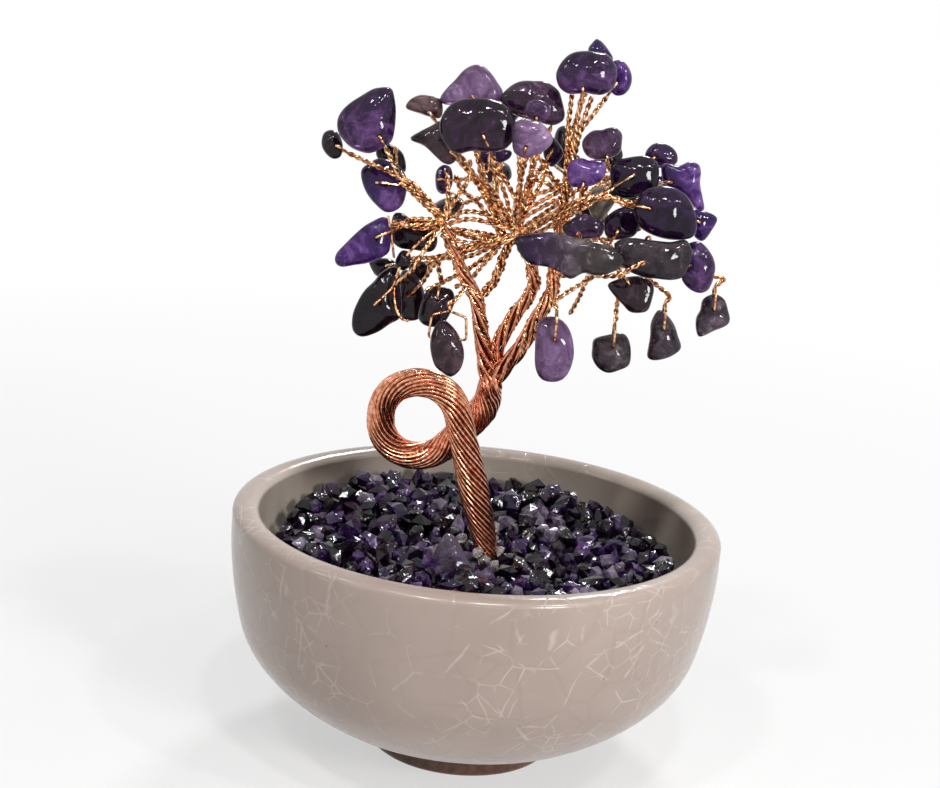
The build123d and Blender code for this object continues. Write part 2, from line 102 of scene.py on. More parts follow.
# %% [markdown]
# A spot of the photograph fixes a line of sight, and a depth on that line fixes a place.
# Outlines of stones, loose wires and drops of glue are set this way, so that they show
# where the real ones do.

# %% Places read off the photograph
picture_width = 940
picture_middle = (470, 394)
focal_steps = lens / sensor * picture_width
root_spot = (1.9, 0.6, 29.0)
root = Vector(root_spot) * mm


def seen_at(across, down, depth):
    """The place that shows at a spot of the photograph, at a given y in metres."""
    turned = side_way * (across - picture_middle[0]) + top_way * (picture_middle[1] - down)
    ray = turned / focal_steps - back
    return camera.location + ray * ((depth - camera.location.y) / ray.y)


def shows_at(place):
    """The spot of the photograph where a place shows, and its distance in metres."""
    away = place - camera.location
    distance = -away.dot(back)
    across = picture_middle[0] + focal_steps * away.dot(side_way) / distance
    return across, picture_middle[1] - focal_steps * away.dot(top_way) / distance, distance


print("the root shows at", [round(v) for v in shows_at(root)[:2]])

# %% [markdown]
# ## Light
# Polished stones and wire show what stands round them, so the world is white for the
# camera, for reflections and for what is seen through a stone, and only a soft grey for
# the light that falls on the ornament. A wide panel in front and to the right gives the
# bowl its shading. Small round lamps overhead, and a ring of very small ones, give
# tumbled stones their points of light.

# %% Light and floor
fill_strength = 0.23
scene.view_settings.view_transform = "Standard"
world = bpy.data.worlds.new("studio")
scene.world = world
world.use_nodes = True
world_nodes = world.node_tree.nodes
world_links = world.node_tree.links
world_nodes["Background"].inputs["Strength"].default_value = fill_strength


def seen_directly(nodes, links):
    """A value of 1 for the rays of the camera, of reflections and of glass."""
    rays = nodes.new("ShaderNodeLightPath")
    first = nodes.new("ShaderNodeMath")
    first.operation = "MAXIMUM"
    links.new(rays.outputs["Is Camera Ray"], first.inputs[0])
    links.new(rays.outputs["Is Glossy Ray"], first.inputs[1])
    second = nodes.new("ShaderNodeMath")
    second.operation = "MAXIMUM"
    links.new(first.outputs[0], second.inputs[0])
    links.new(rays.outputs["Is Transmission Ray"], second.inputs[1])
    return second.outputs[0]


white = world_nodes.new("ShaderNodeBackground")
white.inputs["Color"].default_value = (1, 1, 1, 1)
choose = world_nodes.new("ShaderNodeMixShader")
world_links.new(seen_directly(world_nodes, world_links), choose.inputs[0])
world_links.new(world_nodes["Background"].outputs[0], choose.inputs[1])
world_links.new(white.outputs[0], choose.inputs[2])
world_links.new(choose.outputs[0], world_nodes["World Output"].inputs[0])


def lamp(name, place, size, power):
    """A round lamp that faces the middle of the tree."""
    data = bpy.data.lights.new(name, "AREA")
    data.shape = "DISK"
    data.size = size
    data.energy = power
    made = bpy.data.objects.new(name, data)
    scene.collection.objects.link(made)
    made.location = place
    toward = Vector((0, 0, 0.05)) - made.location
    made.rotation_euler = toward.to_track_quat("-Z", "Y").to_euler()


lamp("panel_front", (0.32, -0.44, 0.26), 0.14, 1.75)
lamp("lamp_left", (-0.16, -0.30, 0.52), 0.045, 0.55)
lamp("lamp_middle", (0.05, -0.26, 0.56), 0.045, 0.65)
lamp("lamp_right", (0.27, -0.22, 0.50), 0.045, 0.6)
lamp("lamp_side", (-0.46, -0.10, 0.34), 0.07, 0.15)
lamp("lamp_back", (0.10, 0.42, 0.45), 0.12, 1.5)
for k in range(9):
    turn = math.radians(-160 + 20 * k)
    place = (0.05 + 0.34 * math.cos(turn), 0.10 + 0.42 * math.sin(turn), 0.40 + 0.05 * (k % 3))
    lamp(f"small_lamp_{k}", place, 0.015, 0.08)

floor_mesh = bpy.data.meshes.new("floor")
far = 4.0
floor_mesh.from_pydata(
    [(-far, -far, 0), (far, -far, 0), (far, far, 0), (-far, far, 0)],
    [],
    [(0, 1, 2, 3)],
)
floor = bpy.data.objects.new("floor", floor_mesh)
scene.collection.objects.link(floor)
floor_paint = bpy.data.materials.new("floor_paint")
floor_paint.use_nodes = True
floor_mesh.materials.append(floor_paint)
floor_nodes = floor_paint.node_tree.nodes
floor_links = floor_paint.node_tree.links
floor_nodes["Principled BSDF"].inputs["Base Color"].default_value = (0.8, 0.8, 0.8, 1)
floor_nodes["Principled BSDF"].inputs["Roughness"].default_value = 0.9
bright = floor_nodes.new("ShaderNodeEmission")
floor_place = floor_nodes.new("ShaderNodeTexCoord").outputs["Object"]
away = floor_nodes.new("ShaderNodeVectorMath")
away.operation = "LENGTH"
floor_links.new(floor_place, away.inputs[0])
fade = floor_nodes.new("ShaderNodeMapRange")
floor_links.new(away.outputs["Value"], fade.inputs["Value"])
for key, value in {"From Min": 0.06, "From Max": 0.30, "To Min": 0.55, "To Max": 1.0}.items():
    fade.inputs[key].default_value = value
share = floor_nodes.new("ShaderNodeMath")
share.operation = "MULTIPLY"
floor_links.new(fade.outputs[0], share.inputs[1])
floor_mix = floor_nodes.new("ShaderNodeMixShader")
floor_links.new(seen_directly(floor_nodes, floor_links), share.inputs[0])
floor_links.new(share.outputs[0], floor_mix.inputs[0])
floor_links.new(floor_nodes["Principled BSDF"].outputs[0], floor_mix.inputs[1])
floor_links.new(bright.outputs[0], floor_mix.inputs[2])
floor_links.new(floor_mix.outputs[0], floor_nodes["Material Output"].inputs[0])

# %% [markdown]
# ## Finishes
# A finish is a recipe of nodes. Every recipe reads its place in the ornament, so cracks,
# clouds and grain keep their real size in metres, and need no flat map of the surface.

# %% A recipe for a finish
class Finish:
    """A material whose nodes are added one by one."""

    def __init__(self, name):
        self.material = bpy.data.materials.new(name)
        self.material.use_nodes = True
        self.nodes = self.material.node_tree.nodes
        self.links = self.material.node_tree.links
        self.shader = self.nodes["Principled BSDF"]
        self.place = self.nodes.new("ShaderNodeTexCoord").outputs["Object"]

    def feed(self, socket, value):
        """Puts a plain value, or what another node gives, into a socket."""
        if isinstance(value, bpy.types.NodeSocket):
            self.links.new(value, socket)
        else:
            socket.default_value = value

    def set(self, **values):
        """Values of the shader's own sockets, such as roughness or coat_weight."""
        for key, value in values.items():
            words = key.replace("_", " ").title().replace("Ior", "IOR")
            self.feed(self.shader.inputs[words], value)

    def noise(self, size, detail=3.0, warp=0.0, place=None):
        """A cloudy value, whose clouds are about size metres across."""
        node = self.nodes.new("ShaderNodeTexNoise")
        self.feed(node.inputs["Vector"], place or self.place)
        node.inputs["Scale"].default_value = 1 / size
        node.inputs["Detail"].default_value = detail
        node.inputs["Distortion"].default_value = warp
        return node.outputs["Fac"]

    def cells(self, size, feature, place=None):
        """The distance inside cells of about size metres, to a point or to an edge."""
        node = self.nodes.new("ShaderNodeTexVoronoi")
        node.feature = feature
        self.feed(node.inputs["Vector"], place or self.place)
        node.inputs["Scale"].default_value = 1 / size
        return node.outputs["Distance"]

    def warped(self, size, amount):
        """The place in the ornament, pushed about by clouds, so that cells look broken."""
        cloud = self.nodes.new("ShaderNodeTexNoise")
        self.links.new(self.place, cloud.inputs["Vector"])
        cloud.inputs["Scale"].default_value = 1 / size
        push = self.nodes.new("ShaderNodeVectorMath")
        push.operation = "MULTIPLY_ADD"
        self.links.new(cloud.outputs["Color"], push.inputs[0])
        push.inputs[1].default_value = (amount, amount, amount)
        self.links.new(self.place, push.inputs[2])
        return push.outputs[0]

    def math(self, operation, first, second=0.0):
        """Two values put together by an operation, such as MULTIPLY."""
        node = self.nodes.new("ShaderNodeMath")
        node.operation = operation
        self.feed(node.inputs[0], first)
        self.feed(node.inputs[1], second)
        return node.outputs[0]

    def ramp(self, value, *stops):
        """Colours or greys at stops along a value from 0 to 1."""
        node = self.nodes.new("ShaderNodeValToRGB")
        self.feed(node.inputs["Fac"], value)
        steps = node.color_ramp.elements
        while len(steps) < len(stops):
            steps.new(1)
        for step, (place, colour) in zip(steps, stops):
            step.position = place
            step.color = colour if isinstance(colour, tuple) else (colour, colour, colour, 1)
        return node.outputs["Color"]

    def mix(self, share, first, second):
        """Two colours blended by a share. A mix node keeps colours in sockets 6 and 7."""
        node = self.nodes.new("ShaderNodeMix")
        node.data_type = "RGBA"
        self.feed(node.inputs[0], share)
        self.feed(node.inputs[6], first)
        self.feed(node.inputs[7], second)
        return node.outputs[2]

    def mark(self, name):
        """A value that the mesh itself carries at each of its points."""
        node = self.nodes.new("ShaderNodeAttribute")
        node.attribute_name = name
        return node.outputs["Fac"]

    def bump(self, height, depth):
        """Relief on the surface, depth metres deep."""
        node = self.nodes.new("ShaderNodeBump")
        self.feed(node.inputs["Height"], height)
        node.inputs["Distance"].default_value = depth
        self.links.new(node.outputs[0], self.shader.inputs["Normal"])


# %% [markdown]
# ### Crackle glaze
# The glaze is a warm pale grey glass over clay. As it cools it shrinks more than the
# clay, and cracks into cells with straight sides that meet at corners. A cell pattern
# gives those sides, and a slow cloud decides where they show and how fine they are.

# %% Crackle glaze
glaze = Finish("crackle_glaze")
drift = glaze.noise(20 * mm, 2)
tint = glaze.ramp(
    drift, (0.3, shown(174, 157, 147)), (0.55, shown(166, 149, 139)), (0.8, shown(156, 140, 130))
)
bent = glaze.warped(7 * mm, 1.6 * mm)
large_edge = glaze.cells(8.5 * mm, "DISTANCE_TO_EDGE", bent)
fine_edge = glaze.cells(3.6 * mm, "DISTANCE_TO_EDGE", bent)
where = glaze.ramp(glaze.noise(15 * mm, 1), (0.47, 0.0), (0.6, 1.0))
large_crack = glaze.ramp(large_edge, (0.0, 1.0), (0.008, 0.6), (0.022, 0.0))
fine_crack = glaze.math(
    "MULTIPLY", glaze.ramp(fine_edge, (0.0, 0.8), (0.018, 0.5), (0.045, 0.0)), where
)
crack = glaze.math("MAXIMUM", large_crack, fine_crack)
broken = glaze.ramp(glaze.noise(3.4 * mm, 2), (0.44, 0.0), (0.56, 1.0))
shows = glaze.ramp(glaze.noise(30 * mm, 2), (0.36, 0.25), (0.60, 1.0))
crack = glaze.math("MULTIPLY", glaze.math("MULTIPLY", crack, shows), broken)
cracked = glaze.mix(glaze.math("MULTIPLY", crack, 0.6), tint, shown(208, 196, 186))
stain = glaze.ramp(glaze.cells(7 * mm, "DISTANCE_TO_EDGE", bent), (0.0, 0.22), (0.06, 0.0))
cracked = glaze.mix(glaze.math("MULTIPLY", stain, shows), cracked, shown(150, 128, 118))
speck = glaze.ramp(glaze.cells(5.5 * mm, "F1"), (0.0, 1.0), (0.028, 1.0), (0.05, 0.0))
speckled = glaze.mix(glaze.math("MULTIPLY", speck, 0.4), cracked, shown(104, 92, 80))
# Inside the bowl the glaze is greyer, and painted lighter than outside as painted light against
# the shade inside.
inner_tone_painted_lighter = glaze.ramp(drift, (0.3, shown(188, 180, 168)), (0.7, shown(166, 158, 146)))
inner = glaze.mix(glaze.mark("inside"), speckled, inner_tone_painted_lighter)
clay = glaze.ramp(glaze.noise(1.2 * mm, 4), (0.35, shown(92, 58, 40)), (0.7, shown(128, 86, 60)))
glaze.set(base_color=glaze.mix(glaze.mark("bare"), inner, clay), roughness=0.2)
relief = glaze.math("SUBTRACT", glaze.noise(14 * mm, 2), glaze.math("MULTIPLY", crack, 0.1))
glaze.bump(relief, 0.35 * mm)

# %% [markdown]
# ## The bowl
# A bowl is thrown on a wheel, so its shape is one outline turned about its axis. The
# outline is the solid's own, taken with many more steps, and each ring of points keeps
# two marks: how far inside the bowl it lies, and whether the clay is bare there.

# %% The bowl's outline
lip_crown = 1.1
foot_neck, heel, belly, widest = (12.4, 4.7), (21.8, 6.1), (33.2, 18.4), (35.0, 31.8)
inner_lip, inner_belly, inner_heel = (31.2, 33.9), (29.4, 18.4), (18.0, 9.6)
belly_way, inner_way = (0.24, 0.97), (-0.24, -0.97)


def blend_line(first, first_way, last, last_way, steps=24):
    """A smooth line between two places that leaves and arrives in given directions."""
    span = math.dist(first, last)
    line = []
    for i in range(steps):
        t = i / steps
        a, b = 2 * t**3 - 3 * t**2 + 1, t**3 - 2 * t**2 + t
        c, d = 3 * t**2 - 2 * t**3, t**3 - t**2
        line.append(
            tuple(
                a * first[k] + b * span * first_way[k] + c * last[k] + d * span * last_way[k]
                for k in (0, 1)
            )
        )
    return line


outside = blend_line(foot_neck, (0.93, 0.16), heel, (0.9, 0.5), 10)
outside += blend_line(heel, (0.87, 0.49), belly, belly_way, 26)
outside += blend_line(belly, belly_way, widest, (0, 1), 20)
outside += [(35.0, 33.0)]
lip = []
for i in range(15):
    turn = math.pi * i / 14
    lip.append((33.1 + 1.9 * math.cos(turn), 34.0 + lip_crown * math.sin(turn)))
inside = blend_line(inner_lip, (0, -1), inner_belly, inner_way, 16)
inside += blend_line(inner_belly, inner_way, inner_heel, (-0.9, -0.4), 12)
inside += [inner_heel, (0.001, 8.5)]
foot = [(0.001, 1.9), (10.2, 1.9), (10.4, 1.7), (10.5, 0.35), (10.9, 0.0), (12.7, 0.0)]
foot += [(13.15, 0.35), (13.2, 0.9), (12.75, 3.2), (12.3, 4.0)]
outline = foot + outside + lip + inside
marks = [(0.0, 1.0)] * len(foot) + [(0.0, 0.0)] * len(outside)
marks += [(max(0.0, i - 7) / 14, 0.0) for i in range(len(lip))]
marks += [(min(1.0, 0.5 + i / 14), 0.0) for i in range(len(inside))]
print("bowl outline points", len(outline))


# %% [markdown]
# A wheel turns clay about one axis, and this cell does so with the outline. Every
# visible piece is then made in the same way: a mesh, the body that it rides on, and the
# nodes of the solid model that it stands for.

# %% Turn the bowl
def add_piece(name, mesh, body, slot, *nodes):
    """A mesh as a piece that rides on a body and stands for nodes of the solid model."""
    piece = bpy.data.objects.new(name, mesh)
    scene.collection.objects.link(piece)
    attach(piece, body)
    if nodes:
        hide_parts(*nodes)
    return piece


def turned(name, outline, marks, around=192):
    """A mesh turned from an outline of radius and height pairs, in millimetres."""
    points, faces = [], []
    for radius, height in outline:
        for k in range(around):
            turn = 2 * math.pi * k / around
            x, y = radius * math.cos(turn) * mm, radius * math.sin(turn) * mm
            points.append((x, y, height * mm))
    for i in range(len(outline) - 1):
        for k in range(around):
            after = (k + 1) % around
            row, following = i * around, (i + 1) * around
            faces.append((row + k, row + after, following + after, following + k))
    mesh = bpy.data.meshes.new(name)
    mesh.from_pydata(points, [], faces)
    for column, mark in enumerate(("inside", "bare")):
        layer = mesh.attributes.new(mark, "FLOAT", "POINT")
        layer.data.foreach_set("value", [m[column] for m in marks for _ in range(around)])
    mesh.shade_smooth()
    return mesh


bowl_mesh = turned("glazed_bowl", outline, marks)
bowl_mesh.materials.append(glaze.material)
add_piece("glazed_bowl", bowl_mesh, "tree", "glaze", "bowl")
print("bowl faces", len(bowl_mesh.polygons))

# %% [markdown]
# ## Wire
# Bright craft wire is copper under a thin clear coat. Where strands cross, light bounces
# from copper to copper and turns a deep red brown, and a core of copper painted dark adds
# painted shade in the gaps between them. The thin twigs are more golden than the thick
# cable, and their tone swings in fine clouds between dark brown and pale gold: in part a
# random tone, in part painted highlight and painted shade for the beads of light on their twists.

# %% Copper
def copper(name, dark, light, rough):
    """Metal whose tone drifts along the wire in fine clouds, with a fine grain; on the twigs part
    of this drift is painted highlight and painted shade.
    """
    finish = Finish(name)
    tone = finish.ramp(finish.noise(0.6 * mm, 3), (0.38, dark), (0.62, light))
    grain = finish.noise(0.35 * mm, 2)
    finish.set(base_color=tone, metallic=1.0, roughness=rough)
    finish.bump(grain, 0.02 * mm)
    return finish.material


cable_copper = copper("cable_copper", shown(178, 106, 76), shown(232, 168, 136), 0.18)
# The twigs' tone swings from dark brown to pale gold: in part random tone, in part painted
# highlight and painted shade for the beads of light on their twists.
twig_copper_painted_light = copper("twig_copper_painted_light", shown(122, 56, 28), shown(255, 204, 152), 0.16)
# A copper painted dark: painted shade for the cores in the gaps between strands and pairs.
painted_shade_copper = copper("painted_shade_copper", shown(84, 36, 20), shown(120, 58, 36), 0.5)

# %% [markdown]
# A wire's line starts as a few places set one by one. Corners are rounded with an arc, or
# the line is smoothed through the places, and then it is cut into even steps. A strand
# of a cable is that line with a small step to the side that turns as it goes along.

# %% Lines for wires
def even(points, step):
    """The same line, cut into even steps."""
    line = np.array([tuple(p) for p in points])
    lengths = np.r_[0, np.cumsum(np.linalg.norm(np.diff(line, axis=0), axis=1))]
    count = max(2, int(round(lengths[-1] / step)) + 1)
    at = np.linspace(0, lengths[-1], count)
    return np.stack([np.interp(at, lengths, line[:, k]) for k in range(3)], axis=1)


def rounded(corners, radii, arc_points=10, most=0.49):
    """A line through corners, each rounded by an arc of its radius at most."""
    line = [corners[0]]
    for before, corner, after, radius in zip(corners, corners[1:], corners[2:], radii):
        a, b = (before - corner).normalized(), (after - corner).normalized()
        half = a.angle(b) / 2
        shortest = min((before - corner).length, (after - corner).length)
        reach = min(radius / math.tan(half), most * shortest)
        radius = reach * math.tan(half)
        middle = corner + (a + b).normalized() * radius / math.sin(half)
        first, last = corner + a * reach - middle, corner + b * reach - middle
        for i in range(arc_points + 1):
            line.append(middle + first.slerp(last, i / arc_points) * radius)
    return line + [corners[-1]]


def through(points, parts=12):
    """A smooth line through all its points."""
    ends = [points[0] * 2 - points[1]] + list(points) + [points[-1] * 2 - points[-2]]
    line = []
    for p0, p1, p2, p3 in zip(ends, ends[1:], ends[2:], ends[3:]):
        for i in range(parts):
            t = i / parts
            line.append(
                (p1 * 2 + (p2 - p0) * t + (p0 * 2 - p1 * 5 + p2 * 4 - p3) * t**2
                 + (p1 * 3 - p0 - p2 * 3 + p3) * t**3) / 2
            )
    return line + [points[-1]]


def sides_of(line):
    """Two directions square to the line at each of its points, without any twist."""
    ways = np.gradient(line, axis=0)
    ways /= np.linalg.norm(ways, axis=1)[:, None]
    side = np.cross(ways[0], (0.31, 0.83, 0.46))
    across = []
    for way in ways:
        side = side - way * side.dot(way)
        side /= np.linalg.norm(side)
        across.append(side)
    across = np.array(across)
    return across, np.cross(ways, across)


def strand(line, offset, pitch, phase=0.0, hand=-1):
    """A line that winds round another at an offset, once for each pitch."""
    across, over = sides_of(line)
    steps = np.linalg.norm(np.diff(line, axis=0), axis=1)
    pitch = np.broadcast_to(pitch, len(line))
    turn = phase + hand * 2 * np.pi * np.r_[0, np.cumsum(steps / pitch[1:])]
    offset = np.broadcast_to(offset, len(line))
    return line + offset[:, None] * (across * np.cos(turn)[:, None] + over * np.sin(turn)[:, None])


# %% [markdown]
# A real wire is drawn to one round section along all its length. So a wire is a curve with
# a round bevel, and the wires of one spray are one object.

# %% Wires as one piece
def wires(name, lines, finish, slot, *nodes, fine=1):
    """Several wires as one curve object. Each line comes with the radius of its wire."""
    data = bpy.data.curves.new(name, "CURVE")
    data.dimensions = "3D"
    data.bevel_depth = 1.0
    data.bevel_resolution = fine
    data.use_fill_caps = True
    data.materials.append(finish)
    for line, size in lines:
        spline = data.splines.new("POLY")
        spline.points.add(len(line) - 1)
        spline.points.foreach_set("co", np.c_[line, np.ones(len(line))].ravel())
        spline.points.foreach_set("radius", np.broadcast_to(size, len(line)).astype(float).copy())
        spline.use_smooth = True
    return add_piece(name, data, "tree", slot, *nodes)


# %% [markdown]
# ## The crown's plan
# The solid model places knots and limbs by shares of the crown's reach and of its rise
# above the neck. A pair is two strands that wind round a strand's line.

# %% Places in the crown
neck = Vector((0.2, 0.51, 54.45)) * mm
crown_reach = 32 * mm
crown_rise = 50 * mm
wire_radius = 0.19 * mm
pair_pitch = 2.1 * mm
wire_step = 0.2 * mm
dice = random.Random(4)


def crown_place(shares):
    """A place in the crown, from shares of its reach and its rise above the neck."""
    to_right, to_back, upward = shares
    return Vector((to_right * crown_reach, to_back * crown_reach, neck.z + upward * crown_rise))


def wander(count, size, waves=3):
    """A slow random change along a wire."""
    t = np.linspace(0, 1, count)
    total = np.zeros(count)
    for _ in range(waves):
        total += np.sin(2 * np.pi * (dice.uniform(0.6, 4.5) * t + dice.random()))
    return size * total / waves


def pair(line, size, phase=0.0):
    """Two wires twisted round one line."""
    return [
        (strand(line, size, pair_pitch, phase), size),
        (strand(line, size, pair_pitch, phase + math.pi), size),
    ]


hubs = {
    "knot_left": (-0.250, -0.094, 0.462),
    "knot_middle": (0.066, 0.000, 0.433),
    "knot_right": (0.247, 0.031, 0.484),
    "knot_tip": (0.272, 0.016, 0.649),
    "left_side": (-0.128, -0.040, 0.288),
    "right_side": (0.240, 0.006, 0.321),
}
limb_routes = {
    "limb_left": [
        (-0.022, 0.020, 0.060), (-0.054, -0.010, 0.151), (-0.086, -0.030, 0.244),
        (-0.160, -0.050, 0.325), hubs["knot_left"],
    ],
    "limb_middle": [
        (0.012, 0.046, 0.060), (0.040, 0.045, 0.132), (0.096, 0.045, 0.205),
        (0.152, 0.035, 0.271), (0.144, 0.016, 0.343), hubs["knot_middle"],
    ],
    "limb_right": [
        (0.060, 0.006, 0.052), (0.125, -0.020, 0.114), (0.188, -0.020, 0.208),
        (0.238, 0.000, 0.286), hubs["knot_right"],
    ],
    "limb_branch": [
        (-0.090, -0.031, 0.240), (-0.016, -0.010, 0.295), (0.024, -0.014, 0.385),
        hubs["knot_middle"],
    ],
    "limb_tip": [hubs["knot_right"], (0.262, 0.020, 0.570), hubs["knot_tip"]],
}

# %% [markdown]
# ## The trunk
# The cable is a bundle of thin wires twisted together. It is wound as one length, bent
# into its loop over a round bar, and its wires then part into three limbs. So every outer
# strand here runs on from the cable into a limb, and wanders a little in and out, as
# loosely twisted wires do. A core of copper painted dark closes the gaps between them, as
# painted shade.

# %% The trunk's cable
cable_radius = 2.15 * mm
strand_radius = 0.32 * mm
cable_step = 0.4
outer = 18
trunk_corners = [
    Vector((-5.148, -3.315, 54.35)) * mm,
    Vector((-14.899, -0.893, 54.35)) * mm,
    Vector((-14.899, 0.893, 42.24)) * mm,
    Vector((-6.902, 2.933, 42.24)) * mm,
    Vector((0.1, 2.678, 50.199)) * mm,
]
bends = [4.9 * mm, 6.05 * mm, 6.05 * mm, 4.9 * mm, 6.875 * mm]
root_way = (trunk_corners[0] - root).normalized()
buried = root - root_way * 2.4 * mm
trunk_route = rounded([buried] + trunk_corners + [neck], bends, 24, 0.74)
trunk_length = sum((b - a).length for a, b in zip(trunk_route, trunk_route[1:])) / mm
lines = []
for k in range(outer):
    route = limb_routes[("limb_left", "limb_middle", "limb_right")[k % 3]]
    onward = through([trunk_route[-2], neck] + [crown_place(p) for p in route])
    axis = even(trunk_route[:-2] + onward, cable_step * mm)
    steps = len(axis)
    at = np.arange(steps) * cable_step
    taper = np.interp(at, [0, 2.4, 12.0], [0.76, 0.76, 1.0])
    full = (cable_radius - strand_radius) / mm
    offset = np.interp(
        at,
        [0, trunk_length - 5, trunk_length + 4, at[-1] - 6, at[-1]],
        [full, full, 0.95, 0.55, 0.2],
    )
    slim = np.interp(at, [14, 20, trunk_length - 12, trunk_length - 6], [1, 0.94, 0.94, 1])
    offset = offset * taper * slim * (1 + wander(steps, 0.035)) * mm
    size = strand_radius * taper
    size = size * slim * np.interp(at, [0, trunk_length - 2, trunk_length + 8], [1, 1, 0.85])
    pitch = np.interp(at, [0, 16, 30, trunk_length, at[-1]], [19, 22, 34, 20, 16]) * mm
    phase = 2 * math.pi * k / outer + dice.uniform(-0.05, 0.05)
    lines.append((strand(axis, offset, pitch, phase), size))
wires("cable", lines, cable_copper, "copper", "trunk", fine=2)
# The cable's core is painted shade: copper painted dark in the gaps between the strands.
core_line = even(trunk_route, cable_step * mm)
at = np.arange(len(core_line)) * cable_step
core_size = np.interp(at, [0, 2.4, 12.0, at[-1] - 4, at[-1]], [1.2, 1.2, 1.6, 1.6, 0.7]) * mm
wires("cable_shade_core", [(core_line, core_size)], painted_shade_copper, "copper", fine=3)
print("cable", round(trunk_length, 1), "mm to the neck,", len(lines), "strands")

# %% [markdown]
# ## The limbs
# Above the neck each limb is wrapped in twisted pairs, so its light breaks into beads.
# They thin out upward, where pairs have left for the stones.

# %% Limbs of twisted pairs
bundle_step = 0.22
core_share = 0.42


def bundle(name, route, pairs, size, radius, pitch):
    """A limb: pairs of wires wound round its line, with a core painted dark as painted shade."""
    places = [crown_place(p) for p in limb_routes[route]]
    grows = 1.5 * mm
    if limb_routes[route][0][2] < 0.1:
        places = [trunk_route[-10], neck] + places
        grows = 12 * mm
    line = even(through(places), bundle_step * mm)
    steps = len(line)
    at = np.arange(steps) * bundle_step * mm
    rise = np.interp(at, [0, grows, at[-1] * 0.6, at[-1]], [0.35, 1, 1, 0.75])
    found = []
    for k in range(pairs):
        offset = (radius - 1.7 * size) * rise * (1 + wander(steps, 0.12))
        path = strand(line, offset, pitch, 2 * math.pi * k / pairs + dice.uniform(-0.2, 0.2))
        found += pair(path, size, dice.uniform(0, 6))
    wires(name, found, twig_copper_painted_light, "copper", route)
    # The limb's core is painted shade between its pairs.
    wires(name + "_shade_core", [(line, radius * core_share * rise)], painted_shade_copper, "copper", fine=2)


for route in limb_routes:
    thin = route in ("limb_branch", "limb_tip")
    bundle(
        route.replace("limb", "bundle"),
        route,
        3,
        0.17 * mm,
        (0.75 if thin else 1.15) * mm,
        (7 if thin else 11) * mm,
    )
print("limbs", len(limb_routes))

# %% [markdown]
# ## The sprays
# The table repeats the solid model's sprays: the hub where a spray leaves, the bend of
# its stem, and for each stone its node, place, size, tilt, taper and drilled way. The
# shares are of the crown's reach and rise, and of a chip of 7 mm.

